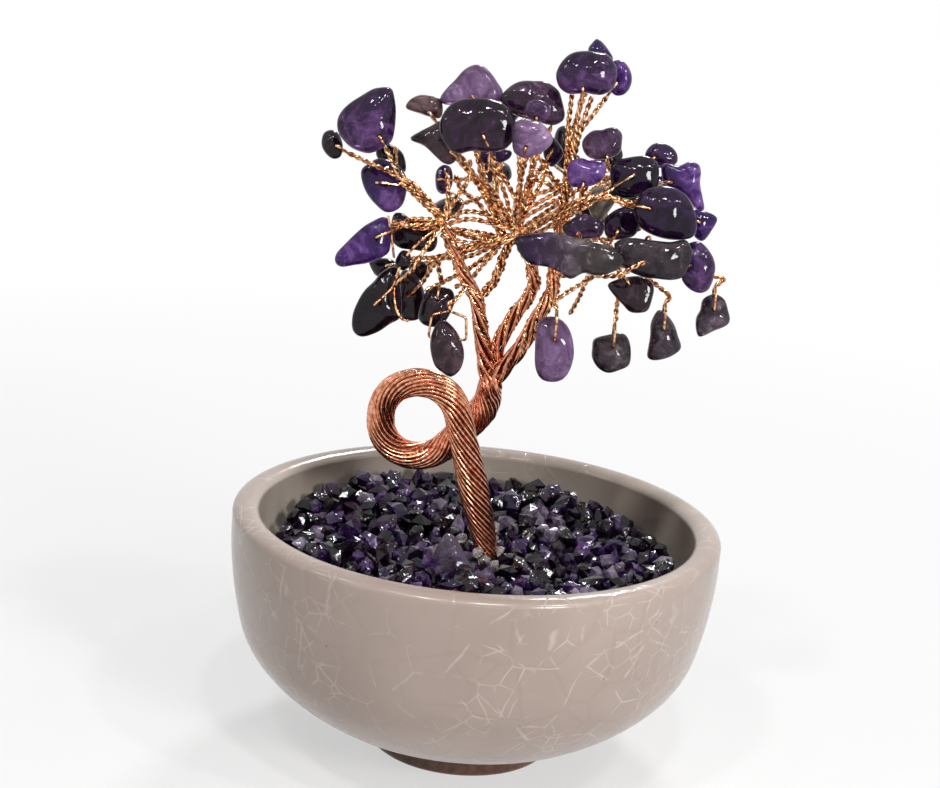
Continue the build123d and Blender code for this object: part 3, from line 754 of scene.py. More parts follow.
# %% The table of sprays
sprays = {
    "twigs_upper_left": ("knot_left", [(-0.419, -0.031, 0.547)], [
        ("chip_left_crest", (-0.600, -0.100, 0.720), (1.48, 1.05, 0.66), 55, 0.25, "y"),
        ("small_chips_left", (-0.760, 0.030, 0.634), (0.61, 0.45, 0.44), 100, 0.0, "y"),
        ("small_chips_left", (-0.475, 0.210, 0.612), (0.72, 0.60, 0.46), 20, 0.0, "z"),
        ("chip_violet_leaf", (-0.540, 0.070, 0.534), (1.22, 0.90, 0.46), -62, -0.35, "y"),
    ]),
    "twigs_left": ("knot_left", [(-0.391, -0.125, 0.456)], [
        ("chip_left_finger", (-0.590, -0.125, 0.388), (1.51, 0.65, 0.54), 43, 0.20, "y"),
        ("small_chips_left", (-0.397, -0.010, 0.409), (0.68, 0.58, 0.64), 10, 0.0, "x"),
    ]),
    "twigs_lower_left": ("knot_middle", [(-0.234, 0.000, 0.357)], [
        ("small_chips_left", (-0.515, 0.050, 0.307), (0.64, 0.60, 0.46), 5, 0.0, "y"),
        ("small_chips_left", (-0.412, -0.125, 0.349), (0.40, 0.34, 0.32), 65, 0.0, "y"),
        ("chip_left_inner", (-0.362, 0.110, 0.226), (0.88, 0.76, 0.54), 85, 0.0, "y"),
        ("chip_left_lower", (-0.250, -0.016, 0.225), (0.80, 0.68, 0.52), 65, 0.1, "y"),
        ("small_chips_left", (-0.312, 0.205, 0.312), (0.49, 0.42, 0.40), 5, 0.0, "z"),
    ]),
    "wire_arched": (
        "knot_left",
        [(-0.322, -0.225, 0.411), (-0.372, -0.247, 0.347)],
        [("chip_left_heavy", (-0.516, -0.125, 0.216), (1.54, 0.87, 0.62), 57, 0.20, "y")],
    ),
    "wire_dropped": (
        "left_side",
        [(-0.175, -0.138, 0.260)],
        [("chip_hanging_left", (-0.197, -0.162, 0.108), (1.16, 0.50, 0.68), 0, 0.0, "x")],
    ),
    "twigs_top_left": ("knot_middle", [(-0.106, 0.016, 0.564)], [
        ("small_chips_top", (-0.380, 0.094, 0.754), (0.79, 0.42, 0.40), -5, -0.2, "y"),
        ("chip_top_peak", (-0.175, 0.094, 0.820), (1.20, 0.86, 0.57), 10, 0.1, "y"),
        ("chip_top_pointed", (-0.312, -0.030, 0.661), (0.98, 0.66, 0.49), 25, -0.3, "y"),
        ("small_chips_top", (-0.056, 0.125, 0.627), (0.79, 0.42, 0.43), 5, 0.0, "z"),
        ("small_chips_top", (-0.272, 0.187, 0.547), (0.84, 0.48, 0.43), 0, 0.0, "x"),
    ]),
    "twigs_top_front": ("knot_middle", [(0.050, -0.081, 0.522)], [
        ("chip_top_front", (-0.130, -0.190, 0.738), (1.45, 1.03, 0.63), 0, 0.0, "y"),
        ("chip_lilac_front", (0.094, -0.275, 0.726), (0.78, 0.72, 0.46), 35, 0.0, "y"),
        ("small_chips_top", (0.100, -0.120, 0.793), (0.38, 0.35, 0.29), 15, 0.0, "y"),
    ]),
    "twigs_top": ("knot_middle", [(0.100, 0.047, 0.571)], [
        ("chip_top_crown", (0.089, 0.028, 0.814), (1.17, 0.74, 0.52), 5, 0.1, "y"),
        ("small_chips_top", (0.195, 0.140, 0.769), (0.59, 0.51, 0.43), 45, 0.0, "y"),
        ("small_chips_top", (0.200, 0.160, 0.655), (0.76, 0.48, 0.43), 75, 0.0, "y"),
    ]),
    "twigs_tip": ("knot_tip", [(0.269, 0.016, 0.705)], [
        ("chip_tip_main", (0.297, -0.030, 0.894), (1.24, 0.89, 0.64), 10, 0.1, "y"),
        ("small_chips_top", (0.334, 0.140, 0.938), (0.51, 0.40, 0.43), 35, 0.0, "y"),
        ("small_chips_top", (0.453, 0.094, 0.876), (0.74, 0.47, 0.49), 105, 0.1, "y"),
    ]),
    "twigs_right_upper": ("knot_right", [(0.453, 0.203, 0.571)], [
        ("chip_right_bumped", (0.403, 0.110, 0.697), (0.83, 0.63, 0.49), 25, 0.0, "y"),
        ("small_chips_right", (0.669, 0.250, 0.664), (0.72, 0.56, 0.46), -15, 0.0, "y"),
        ("chip_right_pale", (0.766, 0.062, 0.607), (0.99, 0.79, 0.57), -45, 0.1, "y"),
        ("small_chips_right", (0.662, 0.250, 0.568), (0.61, 0.52, 0.43), 5, 0.0, "y"),
    ]),
    "twigs_right_middle": ("knot_middle", [(0.365, -0.125, 0.562)], [
        ("chip_right_large", (0.675, -0.172, 0.550), (1.39, 1.00, 0.63), -10, 0.0, "y"),
        ("chip_right_back", (0.553, 0.024, 0.606), (1.04, 0.80, 0.47), 80, 0.0, "y"),
        ("small_chips_right", (0.856, -0.020, 0.511), (0.67, 0.47, 0.43), 50, 0.25, "y"),
    ]),
    "twigs_right_front": ("knot_right", [(0.319, -0.062, 0.528)], [
        ("chip_right_bright", (0.328, -0.094, 0.643), (0.74, 0.66, 0.50), 5, 0.0, "y"),
        ("chip_quartz", (0.415, 0.058, 0.556), (0.67, 0.55, 0.44), 65, 0.0, "y"),
    ]),
    "twigs_right_lower": ("knot_right", [(0.453, -0.087, 0.421)], [
        ("long_shard", (0.290, -0.375, 0.435), (1.98, 0.56, 0.84), 0, -0.2, "z"),
        ("chip_right_shelf", (0.628, -0.276, 0.432), (1.58, 0.58, 0.76), 0, 0.1, "z"),
        ("chip_right_end", (0.838, -0.180, 0.403), (0.93, 0.68, 0.54), 105, 0.0, "y"),
        ("chip_right_down", (0.562, -0.172, 0.320), (0.94, 0.80, 0.51), -75, -0.35, "y"),
        ("chip_right_inner", (0.338, -0.170, 0.497), (0.81, 0.46, 0.52), 0, 0.1, "z"),
        ("small_chips_right", (0.500, -0.047, 0.486), (0.71, 0.55, 0.44), 5, 0.0, "y"),
    ]),
    "twigs_hanging": ("right_side", [(0.500, 0.016, 0.372)], [
        ("chip_hanging_lilac", (0.262, -0.187, 0.139), (1.26, 0.75, 0.57), 98, 0.0, "y"),
        ("chip_hanging_clear", (0.522, -0.070, 0.132), (0.91, 0.75, 0.54), 15, 0.0, "y"),
        ("chip_hanging_grey", (0.734, -0.031, 0.180), (1.08, 0.72, 0.51), 70, -0.15, "y"),
        ("chip_hanging_end", (0.934, -0.094, 0.261), (0.87, 0.67, 0.51), 45, 0.0, "y"),
    ]),
    "twigs_back_left": ("knot_middle", [(-0.047, 0.187, 0.511)], [
        ("back_chips", (-0.190, 0.375, 0.706), (0.90, 0.70, 0.50), 20, 0.1, "x"),
        ("back_chips", (0.016, 0.390, 0.759), (0.80, 0.64, 0.50), -30, 0.0, "x"),
        ("back_chips", (-0.375, 0.330, 0.631), (0.95, 0.66, 0.52), 60, 0.1, "z"),
        ("back_chips", (-0.062, 0.420, 0.561), (0.84, 0.70, 0.50), 15, 0.0, "z"),
        ("back_chips", (-0.250, 0.360, 0.451), (0.80, 0.60, 0.48), -40, 0.0, "z"),
    ]),
    "twigs_back_right": ("knot_right", [(0.297, 0.281, 0.492)], [
        ("back_chips", (0.250, 0.390, 0.646), (0.90, 0.70, 0.50), 10, 0.1, "x"),
        ("back_chips", (0.453, 0.400, 0.640), (0.84, 0.66, 0.50), 70, 0.0, "z"),
        ("back_chips", (0.625, 0.420, 0.526), (0.90, 0.62, 0.50), 30, 0.1, "z"),
        ("back_chips", (0.406, 0.437, 0.451), (0.80, 0.66, 0.48), -20, 0.0, "z"),
    ]),
}
print("sprays", len(sprays), "stones", sum(len(s[2]) for s in sprays.values()))

# %% [markdown]
# ## Outlines of the stones
# Every stone of a real tree has its own outline, and the solid's are plainer. So each stone
# that shows in front gets the outline that was read off the photograph, as spots across
# and down, and numbers for its tone and painted light: how light it is, how much lighter
# toward the right, how much painted light toward the top (below nought, a painted shade
# on top and painted light at the bottom), how much lighter toward both ends, then how much
# of its finish's second colour it has: a warm brown in amethyst, and violet in smoky quartz.
# Two stones show the spot of their hole.

# %% Outlines, tones and painted light
seen = {
    "chip_left_crest": ((0.50, 0, -0.35, 0, 0), [
        (377, 88), (391, 88), (395, 100), (396, 116), (394, 134), (391, 142), (383, 148),
        (371, 153), (361, 152), (349, 146), (339, 134), (337, 122), (341, 112), (350, 103),
        (361, 96), (371, 90)]),
    "small_chips_left.0": ((0.30, 0, 0, 0, 0), [
        (325, 132), (332, 130), (339, 134), (343, 145), (341, 156), (334, 159), (327, 155),
        (322, 147), (322, 138)]),
    "small_chips_left.1": ((0.15, 0, 0, 0, 0.2), [
        (383, 143), (392, 145), (402, 152), (406, 163), (405, 172), (395, 172), (383, 165),
        (376, 155), (378, 147)]),
    "chip_violet_leaf": ((0.45, 0, -0.50, 0, 0), [
        (366, 165), (380, 158), (395, 163), (404, 172), (408, 184), (407, 190), (403, 204),
        (395, 211), (385, 212), (375, 204), (367, 194), (362, 182), (361, 171)]),
    "chip_left_finger": ((0.45, -0.10, 0, 0, 0), [
        (371, 222), (382, 217), (389, 220), (392, 230), (391, 242), (389, 252), (381, 258),
        (368, 263), (355, 265), (341, 267), (335, 262), (336, 254), (343, 246), (353, 236),
        (363, 227)]),
    "small_chips_left.2": ((0.35, 0.2, 0, 0, 0.2), [
        (394, 214), (402, 213), (412, 219), (426, 219), (436, 232), (437, 245), (430, 252),
        (415, 250), (400, 248), (392, 240), (391, 225)]),
    "small_chips_left.3": ((0.40, 0, 0, 0, 0.3), [
        (369, 260), (381, 258), (393, 260), (397, 268), (391, 276), (379, 277), (373, 272)]),
    "small_chips_left.5": ((0.55, 0, 0, 0, 0.5), [
        (408, 262), (415, 261), (430, 263), (432, 270), (426, 279), (418, 280), (410, 272)]),
    "chip_left_heavy": ((0.15, 0, 0.1, 0, 0.1), [
        (393, 266), (399, 270), (401, 290), (402, 305), (400, 318), (390, 324), (378, 332),
        (362, 337), (353, 331), (352, 318), (356, 305), (364, 291), (375, 280), (381, 272)]),
    "chip_left_inner": ((0.30, 0, 0, 0, 0.3), [
        (401, 272), (408, 270), (416, 276), (424, 290), (424, 305), (420, 318), (410, 321),
        (402, 318), (399, 305), (398, 288)]),
    "chip_left_lower": ((0.35, 0, 0.1, 0, 0.2), [
        (423, 296), (430, 289), (442, 287), (452, 290), (455, 300), (452, 310), (445, 322),
        (435, 327), (424, 325), (418, 318), (419, 308)]),
    "chip_hanging_left": ((0.55, 0, 0, 0, 0.5), [
        (440, 319), (448, 322), (457, 332), (463, 346), (464, 358), (460, 370), (451, 377),
        (443, 373), (435, 366), (431, 354), (430, 342), (433, 330)]),
    "small_chips_top.0": ((0.85, 0, 0, 0, 1.0), [
        (406, 105), (411, 99), (420, 95), (431, 96), (440, 99), (443, 108), (440, 118),
        (427, 116), (415, 112), (407, 109)]),
    "chip_top_peak": ((0.50, 0, -0.10, 0, 0), [
        (440, 98), (447, 88), (455, 80), (464, 70), (474, 65), (483, 66), (491, 73), (498, 83),
        (503, 92), (500, 102), (485, 104), (470, 106), (455, 105), (443, 104)]),
    "chip_top_pointed": ((0.75, 0, -0.20, 0, 0.4), [
        (410, 139), (419, 132), (431, 126), (443, 120), (455, 126), (460, 140), (459, 155),
        (452, 164), (443, 163), (435, 156), (424, 146)]),
    "small_chips_top.1": ((0.30, 0, 0, 0, 0.4), [
        (479, 152), (495, 149), (511, 151), (509, 159), (495, 164), (482, 163)]),
    "small_chips_top.2": ((0.35, 0, 0, 0, 0.4), [
        (436, 172), (443, 165), (451, 168), (453, 180), (450, 190), (442, 194), (436, 188)]),
    "chip_top_front": ((0.2, 0, -0.25, 0, 0.5), [
        (440, 121), (447, 108), (459, 100), (475, 98), (491, 99), (507, 106), (515, 118),
        (515, 134), (511, 144), (501, 151), (487, 152), (471, 151), (457, 154), (446, 146),
        (440, 134)]),
    "chip_lilac_front": ((0.60, 0.30, 0, 0, 0), [
        (513, 124), (522, 120), (532, 121), (542, 124), (550, 132), (553, 140), (548, 148),
        (536, 155), (524, 158), (514, 152), (512, 138)]),
    "chip_top_crown": ((0.55, 0, 0.30, 0, 0.6), [
        (503, 93), (512, 85), (522, 81), (534, 81), (546, 82), (558, 90), (562, 100),
        (565, 116), (560, 123), (550, 125), (530, 120), (515, 115), (505, 108), (500, 100)]),
    "small_chips_top.3": ((0.60, 0, 0, 0, 0.6), [
        (527, 103), (537, 100), (548, 104), (551, 112), (546, 120), (534, 121), (526, 114)]),
    "small_chips_top.4": ((0.50, 0, 0, 0, 0.2), [
        (548, 104), (560, 103), (565, 115), (558, 123), (549, 120)]),
    "small_chips_top.5": ((0.30, 0, 0, 0, 0.4), [
        (548, 136), (556, 140), (563, 150), (562, 158), (552, 167), (545, 160), (543, 148)]),
    "chip_tip_main": ((0.45, 0, -0.50, 0, 0), [
        (556, 78), (557, 70), (563, 60), (572, 53), (584, 51), (596, 52), (608, 55), (616, 66),
        (617, 78), (612, 90), (600, 95), (586, 93), (570, 94), (560, 88)]),
    "small_chips_top.6": ((0.45, 0, 0, 0, 0), [
        (588, 50), (592, 43), (597, 39), (603, 43), (609, 51), (613, 60), (604, 66),
        (592, 62)]),
    "small_chips_top.7": ((0.55, 0, 0.1, 0, 0), [
        (613, 62), (622, 61), (629, 68), (632, 78), (630, 88), (623, 95), (613, 94),
        (608, 80)]),
    "chip_right_bumped": ((0.25, -0.30, 0, 0, 0.4), [
        (582, 146), (584, 138), (592, 131), (602, 130), (608, 128), (616, 128), (622, 134),
        (622, 142), (620, 152), (610, 158), (598, 160), (587, 156)]),
    "small_chips_right.0": ((0.35, 0, 0, 0, 0.5), [
        (645, 154), (650, 146), (658, 143), (670, 146), (677, 154), (676, 164), (662, 168),
        (648, 164)]),
    "chip_right_pale": ((0.55, 0.50, 0, 0, 0), [
        (662, 164), (678, 166), (688, 162), (698, 164), (701, 172), (700, 184), (703, 200),
        (704, 210), (696, 210), (688, 200), (676, 190), (664, 184)]),
    "chip_right_back": ((0.05, 0, 0, 0, 0), [
        (612, 162), (625, 158), (645, 156), (657, 162), (659, 176), (656, 190), (640, 197),
        (622, 198), (613, 190), (610, 176)]),
    "chip_right_large": ((0.25, 0, 0.10, 0, 0), [
        (637, 200), (645, 190), (660, 186), (675, 188), (687, 196), (694, 210), (697, 224),
        (694, 236), (682, 240), (665, 239), (648, 233), (637, 224), (633, 210)]),
    "small_chips_right.2": ((0.35, 0, 0, 0, 0), [
        (692, 211), (704, 211), (717, 218), (712, 230), (703, 241), (694, 236), (690, 222)]),
    "chip_right_bright": ((0.75, 0, 0, 0, 0), [
        (567, 170), (570, 162), (580, 158), (592, 160), (604, 162), (606, 172), (600, 182),
        (586, 187), (573, 187), (568, 180)]),
    "chip_quartz": ((0.90, 0, 0, 0, 0), [
        (590, 198), (592, 190), (602, 186), (614, 188), (618, 196), (610, 210), (600, 221),
        (592, 216), (588, 206)]),
    "chip_right_inner": ((0.40, 0, 0, 0, 0.3), [
        (562, 228), (570, 220), (583, 214), (597, 218), (604, 226), (601, 236), (588, 239),
        (570, 238)]),
    "small_chips_right.3": ((0.15, 0, 0, 0, 0.6), [
        (604, 222), (612, 212), (625, 207), (637, 212), (640, 224), (634, 236), (618, 240),
        (606, 236)]),
    "back_chips.2": ((0.15, 0, 0, 0, 0.3), [
        (430, 134), (441, 128), (452, 132), (457, 143), (451, 154), (440, 156), (432, 146)]),
    "long_shard": ((0.62, 0.05, 0.30, -0.60, 0.35, -0.9), [
        (515, 238), (522, 235), (534, 234), (550, 232), (570, 236), (588, 240), (604, 243),
        (618, 250), (626, 258), (620, 268), (608, 274), (596, 276), (584, 273), (570, 279),
        (556, 270), (542, 266), (530, 264), (520, 254)]),
    "chip_right_shelf": ((0.20, -0.10, 0.1, 0, 0.25), [
        (614, 244), (630, 238), (650, 240), (670, 242), (686, 240), (692, 252), (690, 264),
        (684, 276), (674, 280), (658, 279), (640, 276), (622, 266)]),
    "chip_right_end": ((0.60, 0, 0, 0, 0), [
        (688, 244), (700, 242), (710, 252), (715, 264), (714, 277), (708, 290), (698, 293),
        (687, 287), (681, 276), (684, 258)]),
    "chip_right_down": ((0.50, 0, 0, 0, 0.4), [
        (608, 284), (622, 278), (638, 276), (650, 280), (654, 288), (652, 300), (648, 310),
        (641, 313), (630, 312), (622, 304), (612, 293)]),
    "chip_hanging_lilac": ((0.35, 0, 0, 0, 0), [
        (538, 322), (546, 317), (556, 317), (566, 324), (572, 336), (574, 354), (570, 370),
        (562, 380), (550, 382), (540, 378), (535, 366), (535, 346), (536, 332)]),
    "chip_hanging_clear": ((0.42, 0.30, 0.1, -0.2, 0.25), [
        (592, 348), (594, 339), (606, 335), (622, 333), (629, 340), (631, 353), (629, 365),
        (620, 370), (608, 373), (598, 368), (592, 358)]),
    "chip_hanging_grey": ((0.45, 0, 0.2, 0, 0.35), [
        (658, 310), (666, 314), (674, 324), (678, 336), (681, 348), (672, 356), (660, 360),
        (651, 360), (647, 356), (648, 348), (650, 336), (651, 322)]),
    "chip_hanging_end": ((0.50, 0, 0, 0, 0.4), [
        (703, 299), (714, 294), (724, 299), (728, 310), (730, 320), (726, 326), (714, 331),
        (700, 337), (696, 330), (696, 318), (700, 310)]),
}
holes = {"chip_top_front": (479, 130), "chip_lilac_front": (527, 139)}
print("outlines", len(seen))

# %% [markdown]
# ## A tumbled stone
# Tumbling in a drum wears a broken chip into a pebble: its flats stay, and its edges
# round off. So a stone is a ball of points drawn in by several flats with soft edges, then
# stretched to its sizes. Where an outline was read, the ball takes it in the plane of the
# picture, and its flats work on the depth alone.

# %% The form of a stone
chip_size = 7 * mm
eye_room = 0.45 * mm
eye_neck = 0.7 * mm
ball = bmesh.new()
bmesh.ops.create_icosphere(ball, subdivisions=4, radius=1)
ball_points = np.array([v.co[:] for v in ball.verts])
ball_faces = [tuple(v.index for v in f.verts) for f in ball.faces]
ball.free()


def worn(points, rng, flats, low, high, soft=9):
    """Radius shares of ball points that several soft flats draw in."""
    radius = np.ones(len(points))
    for _ in range(flats):
        way = rng.normal(size=3)
        way /= np.linalg.norm(way)
        near = np.clip(points @ way, 0, None) / rng.uniform(low, high)
        radius += near**soft
    return radius ** (-1 / soft)


def tumbled(halves, taper, rng):
    """Points of a tumbled stone in its own long, wide and thin directions."""
    form = ball_points * worn(ball_points, rng, 9, 0.74, 0.95)[:, None]
    narrow = 1 - taper * form[:, 0]
    form = form * np.stack([np.ones_like(narrow), narrow, narrow], axis=1)
    return form / abs(form).max(axis=0) * np.array(halves)


def closed(spots, parts=8):
    """A smooth closed line through spots."""
    p1 = np.array(spots, float)
    p0, p2, p3 = np.roll(p1, 1, 0), np.roll(p1, -1, 0), np.roll(p1, -2, 0)
    rows = []
    for i in range(parts):
        t = i / parts
        rows.append(
            (2 * p1 + (p2 - p0) * t + (2 * p0 - 5 * p1 + 4 * p2 - p3) * t**2
             + (3 * p1 - p0 - 3 * p2 + p3) * t**3) / 2
        )
    return np.stack(rows, axis=1).reshape(-1, 2)


def outlined(line, scale, depth, rng):
    """Points of a stone with a given outline, along side_way, top_way and back."""
    away = line - line.mean(axis=0)
    turns = np.arctan2(-away[:, 1], away[:, 0])
    order = np.argsort(turns)
    turn = np.arctan2(ball_points[:, 1], ball_points[:, 0])
    radius = np.interp(turn, turns[order], np.hypot(*away.T)[order], period=2 * np.pi)
    ring = np.hypot(ball_points[:, 0], ball_points[:, 1]) ** 0.9 * radius * scale
    rise = np.sign(ball_points[:, 2]) * abs(ball_points[:, 2]) ** 0.8
    rise *= depth * worn(ball_points, rng, 7, 0.6, 0.9)
    return np.stack([ring * np.cos(turn), ring * np.sin(turn), rise], axis=1)


# %% [markdown]
# A stone sits on an eye of wire that passes through its thin side. The twig comes in along
# one way, the wire goes through along another, and the eye has to clear the stone. The
# eyes of hanging stones are taller, because the stone's top swings inside them.

# %% A stone and its hole
class Stone:
    """One stone of a spray: its form, its hole and the end of its twig."""

    def __init__(self, row, fork, seed, key, hinge):
        """Works the stone out from its row, its twig's fork and its hinge if it hangs."""
        self.node, place, sizes, tilt, taper, drilled = row
        rng = np.random.default_rng(seed)
        self.centre = crown_place(place)
        halves = [s * chip_size / 2 for s in sizes]
        # The third number is painted light toward the top, drawn at random for a stone that has no
        # outline.
        cloud = rng.uniform(0.15, 0.6), 0, rng.uniform(-0.3, 0.2), 0, rng.uniform(0, 0.5)
        self.cloud, spots = seen.get(key, (cloud, None))
        if spots:
            line = closed(spots)
            self.centre = seen_at(*line.mean(axis=0), self.centre.y)
        self.into = Vector((0, 0, -1)) if hinge else (self.centre - fork).normalized()
        through_way = Vector([float(drilled == axis) for axis in "xyz"])
        if spots and drilled == "y" and not hinge:
            through_way = back
        self.thin = (through_way - self.into * self.into.dot(through_way)).normalized()
        if spots:
            depth = halves[2] if drilled == "y" else halves[1]
            form = outlined(line, shows_at(self.centre)[2] / focal_steps, depth, rng)
            axes = side_way, top_way, back
        else:
            form = tumbled(halves, taper, rng)
            level = Vector((0, 0, 1)) if drilled == "x" else Vector((1, 0, 0))
            flat = (level - self.thin * self.thin.dot(level)).normalized()
            lean = math.radians(tilt)
            long_way = flat * math.cos(lean) + flat.cross(self.thin) * math.sin(lean)
            axes = long_way, self.thin.cross(long_way), self.thin
        self.points = np.array(self.centre[:]) + form @ np.array([a[:] for a in axes])
        self.span = abs(form[:, :2]).max()
        self.hangs = bool(hinge)
        self.hole = Vector(hinge) if hinge else self.centre
        if key in holes:
            self.hole = seen_at(*holes[key], self.centre.y)
            self.into = (self.hole - fork).normalized()
            self.thin = (back - self.into * self.into.dot(back)).normalized()
        elif not hinge:
            self.hole = self.centre - self.into * self.rise(0.3 * self.span) * 0.45
        self.top = self.rise(0.8 * mm)
        near = self.points - np.array(self.hole[:])
        thin = np.array(self.thin[:])
        aside = near - np.outer(near @ thin, thin)
        mouth = near[np.linalg.norm(aside, axis=1) < 0.7 * mm]
        if hinge:
            up, away = -aside @ np.array(self.into[:]), np.linalg.norm(aside, axis=1)
            self.top = away[up > 0.75 * away].max() + eye_room
            mouth = near[(up > 0.5 * away) | (away < 0.9 * mm)]
        self.half = abs(mouth @ thin).max() + wire_radius
        above = self.top + eye_neck if hinge else self.top * 1.25 + 2 * wire_radius
        self.wire_end = self.hole - self.into * above

    def rise(self, width):
        """How far the stone reaches from its hole toward its twig."""
        into = np.array(self.into[:])
        away = self.points - np.array(self.hole[:])
        along = away @ into
        beside = np.linalg.norm(away - np.outer(along, into), axis=1)
        return -along[beside < width].min()

    def eye(self):
        """The line of the wire from the twig's end, through the hole and back."""
        out = self.thin * (self.half + 0.1 * mm)
        leg = self.thin * wire_radius
        start = self.wire_end
        shoulder = self.hole - self.into * self.top * (1.0 if self.hangs else 0.62)
        corners = [
            start + leg, shoulder + out * 0.9, self.hole + out, self.hole - out,
            shoulder - out * 0.9, start - leg,
        ]
        return rounded(corners, [0.5 * mm, 0.35 * mm, 0.35 * mm, 0.5 * mm], 6)

    def tone_and_painted_light(self, points):
        """How light the stone is at places on it, with painted light and shade from top to bottom,
        and how much of its second colour shows.
        """
        away = points - np.array(self.centre[:])
        u = away @ np.array(side_way[:]) / self.span
        v = away @ np.array(top_way[:]) / self.span
        light, toward_right, painted_light_toward_top, toward_ends, other, *other_right = self.cloud
        other = other + sum(other_right) * u
        # The slope toward the top is painted light and painted shade.
        light = light + toward_right * u + painted_light_toward_top * v + toward_ends * u**2
        return np.clip(light, 0, 1), np.clip(other, 0, 1)


# %% [markdown]
# Each stone is drilled with a fine bit before the wire goes in. The drill here is a thin
# rod that is cut out of the stone, so that the wire passes through a real hole, also when
# a hanging stone swings on it.

# %% Drill the stones
drill_radius = 0.25 * mm


def drilled_mesh(stone):
    """A stone's mesh with its hole cut through."""
    mesh = bpy.data.meshes.new("stone")
    mesh.from_pydata([tuple(p) for p in stone.points], [], ball_faces)
    piece = bpy.data.objects.new("stone", mesh)
    scene.collection.objects.link(piece)
    bit_form = bmesh.new()
    facing = stone.thin.to_track_quat("Z", "Y").to_matrix().to_4x4()
    bmesh.ops.create_cone(
        bit_form,
        cap_ends=True,
        segments=14,
        radius1=drill_radius,
        radius2=drill_radius,
        depth=stone.half * 4,
        matrix=Matrix.Translation(stone.hole) @ facing,
    )
    bit_mesh = bpy.data.meshes.new("bit")
    bit_form.to_mesh(bit_mesh)
    bit_form.free()
    bit = bpy.data.objects.new("bit", bit_mesh)
    scene.collection.objects.link(bit)
    cut = piece.modifiers.new("cut", "BOOLEAN")
    cut.operation = "DIFFERENCE"
    cut.solver = "MANIFOLD"
    cut.object = bit
    bpy.context.view_layer.update()
    view = bpy.context.evaluated_depsgraph_get()
    made = bpy.data.meshes.new_from_object(piece.evaluated_get(view))
    bpy.data.objects.remove(piece)
    bpy.data.objects.remove(bit)
    return made


def joined(name, stones):
    """Several drilled stones as one mesh, with marks for their clouds."""
    form = bmesh.new()
    marks = []
    for stone in stones:
        mesh = drilled_mesh(stone)
        points = np.array([v.co[:] for v in mesh.vertices])
        marks.append(stone.tone_and_painted_light(points))
        form.from_mesh(mesh)
        bpy.data.meshes.remove(mesh)
    made = bpy.data.meshes.new(name)
    form.to_mesh(made)
    form.free()
    for k, mark in enumerate(("light", "other")):
        layer = made.attributes.new(mark, "FLOAT", "POINT")
        layer.data.foreach_set("value", np.concatenate([m[k] for m in marks]))
    made.shade_smooth()
    return made


# %% [markdown]
# ### Amethyst
# Amethyst is glass-clear quartz whose colour lies in clouds and bands. Light goes in, is
# tinted and comes out again elsewhere, so the finish is glass that lets part of the light
# through, with a little soft scatter for the cloudy parts and a polished skin. A stone's
# marks say where it is light, with painted light and shade from top to bottom, and where
# its second colour shows.

# %% Amethyst and quartz
def gem(name, dark, body, glow, other=None, shine=0.09, relief=0.05):
    """A polished stone. Its colours stand for deep, middle and light places."""
    finish = Finish(name)
    cloud = finish.ramp(finish.noise(2.8 * mm, 5, 1.4), (0.34, 0.0), (0.66, 1.0))
    # On the tree's stones the light mark also carries painted light and shade from top to bottom.
    lightness = finish.math("MULTIPLY", finish.mark("light"), 0.65)
    value = finish.math("ADD", finish.math("MULTIPLY", cloud, 0.45), lightness)
    veil = finish.ramp(finish.noise(1.5 * mm, 4, 2.5), (0.56, 0.0), (0.74, 0.3))
    value = finish.math("SUBTRACT", finish.math("ADD", value, veil), 0.11)
    tone = finish.ramp(value, (0.08, dark), (0.45, body), (0.95, glow))
    second = other or (shown(22, 10, 16), shown(56, 34, 42), shown(126, 96, 102))
    change = finish.ramp(value, (0.08, second[0]), (0.45, second[1]), (0.95, second[2]))
    finish.set(
        base_color=finish.mix(finish.mark("other"), tone, change),
        roughness=0.05,
        transmission_weight=0.35,
        subsurface_weight=0.05,
        subsurface_scale=1.5 * mm,
        ior=1.54,
        specular_ior_level=shine,
    )
    finish.shader.inputs["Subsurface Radius"].default_value = (1.0, 0.5, 1.2)
    small_dents = finish.math("MULTIPLY", finish.noise(0.9 * mm, 2), 0.35)
    dents = finish.math("ADD", finish.noise(2.4 * mm, 2), small_dents)
    finish.bump(dents, relief * 2 * mm)
    return finish.material


quartz_tones = {
    "amethyst_deep": (shown(18, 6, 24), shown(50, 23, 66), shown(126, 82, 146)),
    "amethyst_dark": (shown(12, 5, 12), shown(32, 18, 31), shown(86, 58, 76)),
    "amethyst_violet": (shown(26, 9, 44), shown(64, 28, 102), shown(150, 104, 180)),
    "amethyst_pale": (shown(72, 46, 78), shown(122, 91, 132), shown(184, 154, 192)),
    "smoky_quartz": (shown(28, 20, 26), shown(72, 62, 64), shown(152, 146, 130)),
}
gems = {name: gem(name, *tones) for name, tones in quartz_tones.items() if "smoky" not in name}
violet_tones = quartz_tones["amethyst_deep"]
gems["smoky_quartz"] = gem("smoky_amethyst", *quartz_tones["smoky_quartz"], violet_tones)
slot_of = {row["node"]: row["material_slot"] for row in frame["record"]["subparts"]}
print("gem finishes", len(gems))

# %% [markdown]
# ## Stones and their wires
# One wire runs out along the twig, through the stone and back, twisted round itself. So
# each twig is a single line: a winding half, the eye, and the other half on its way back.

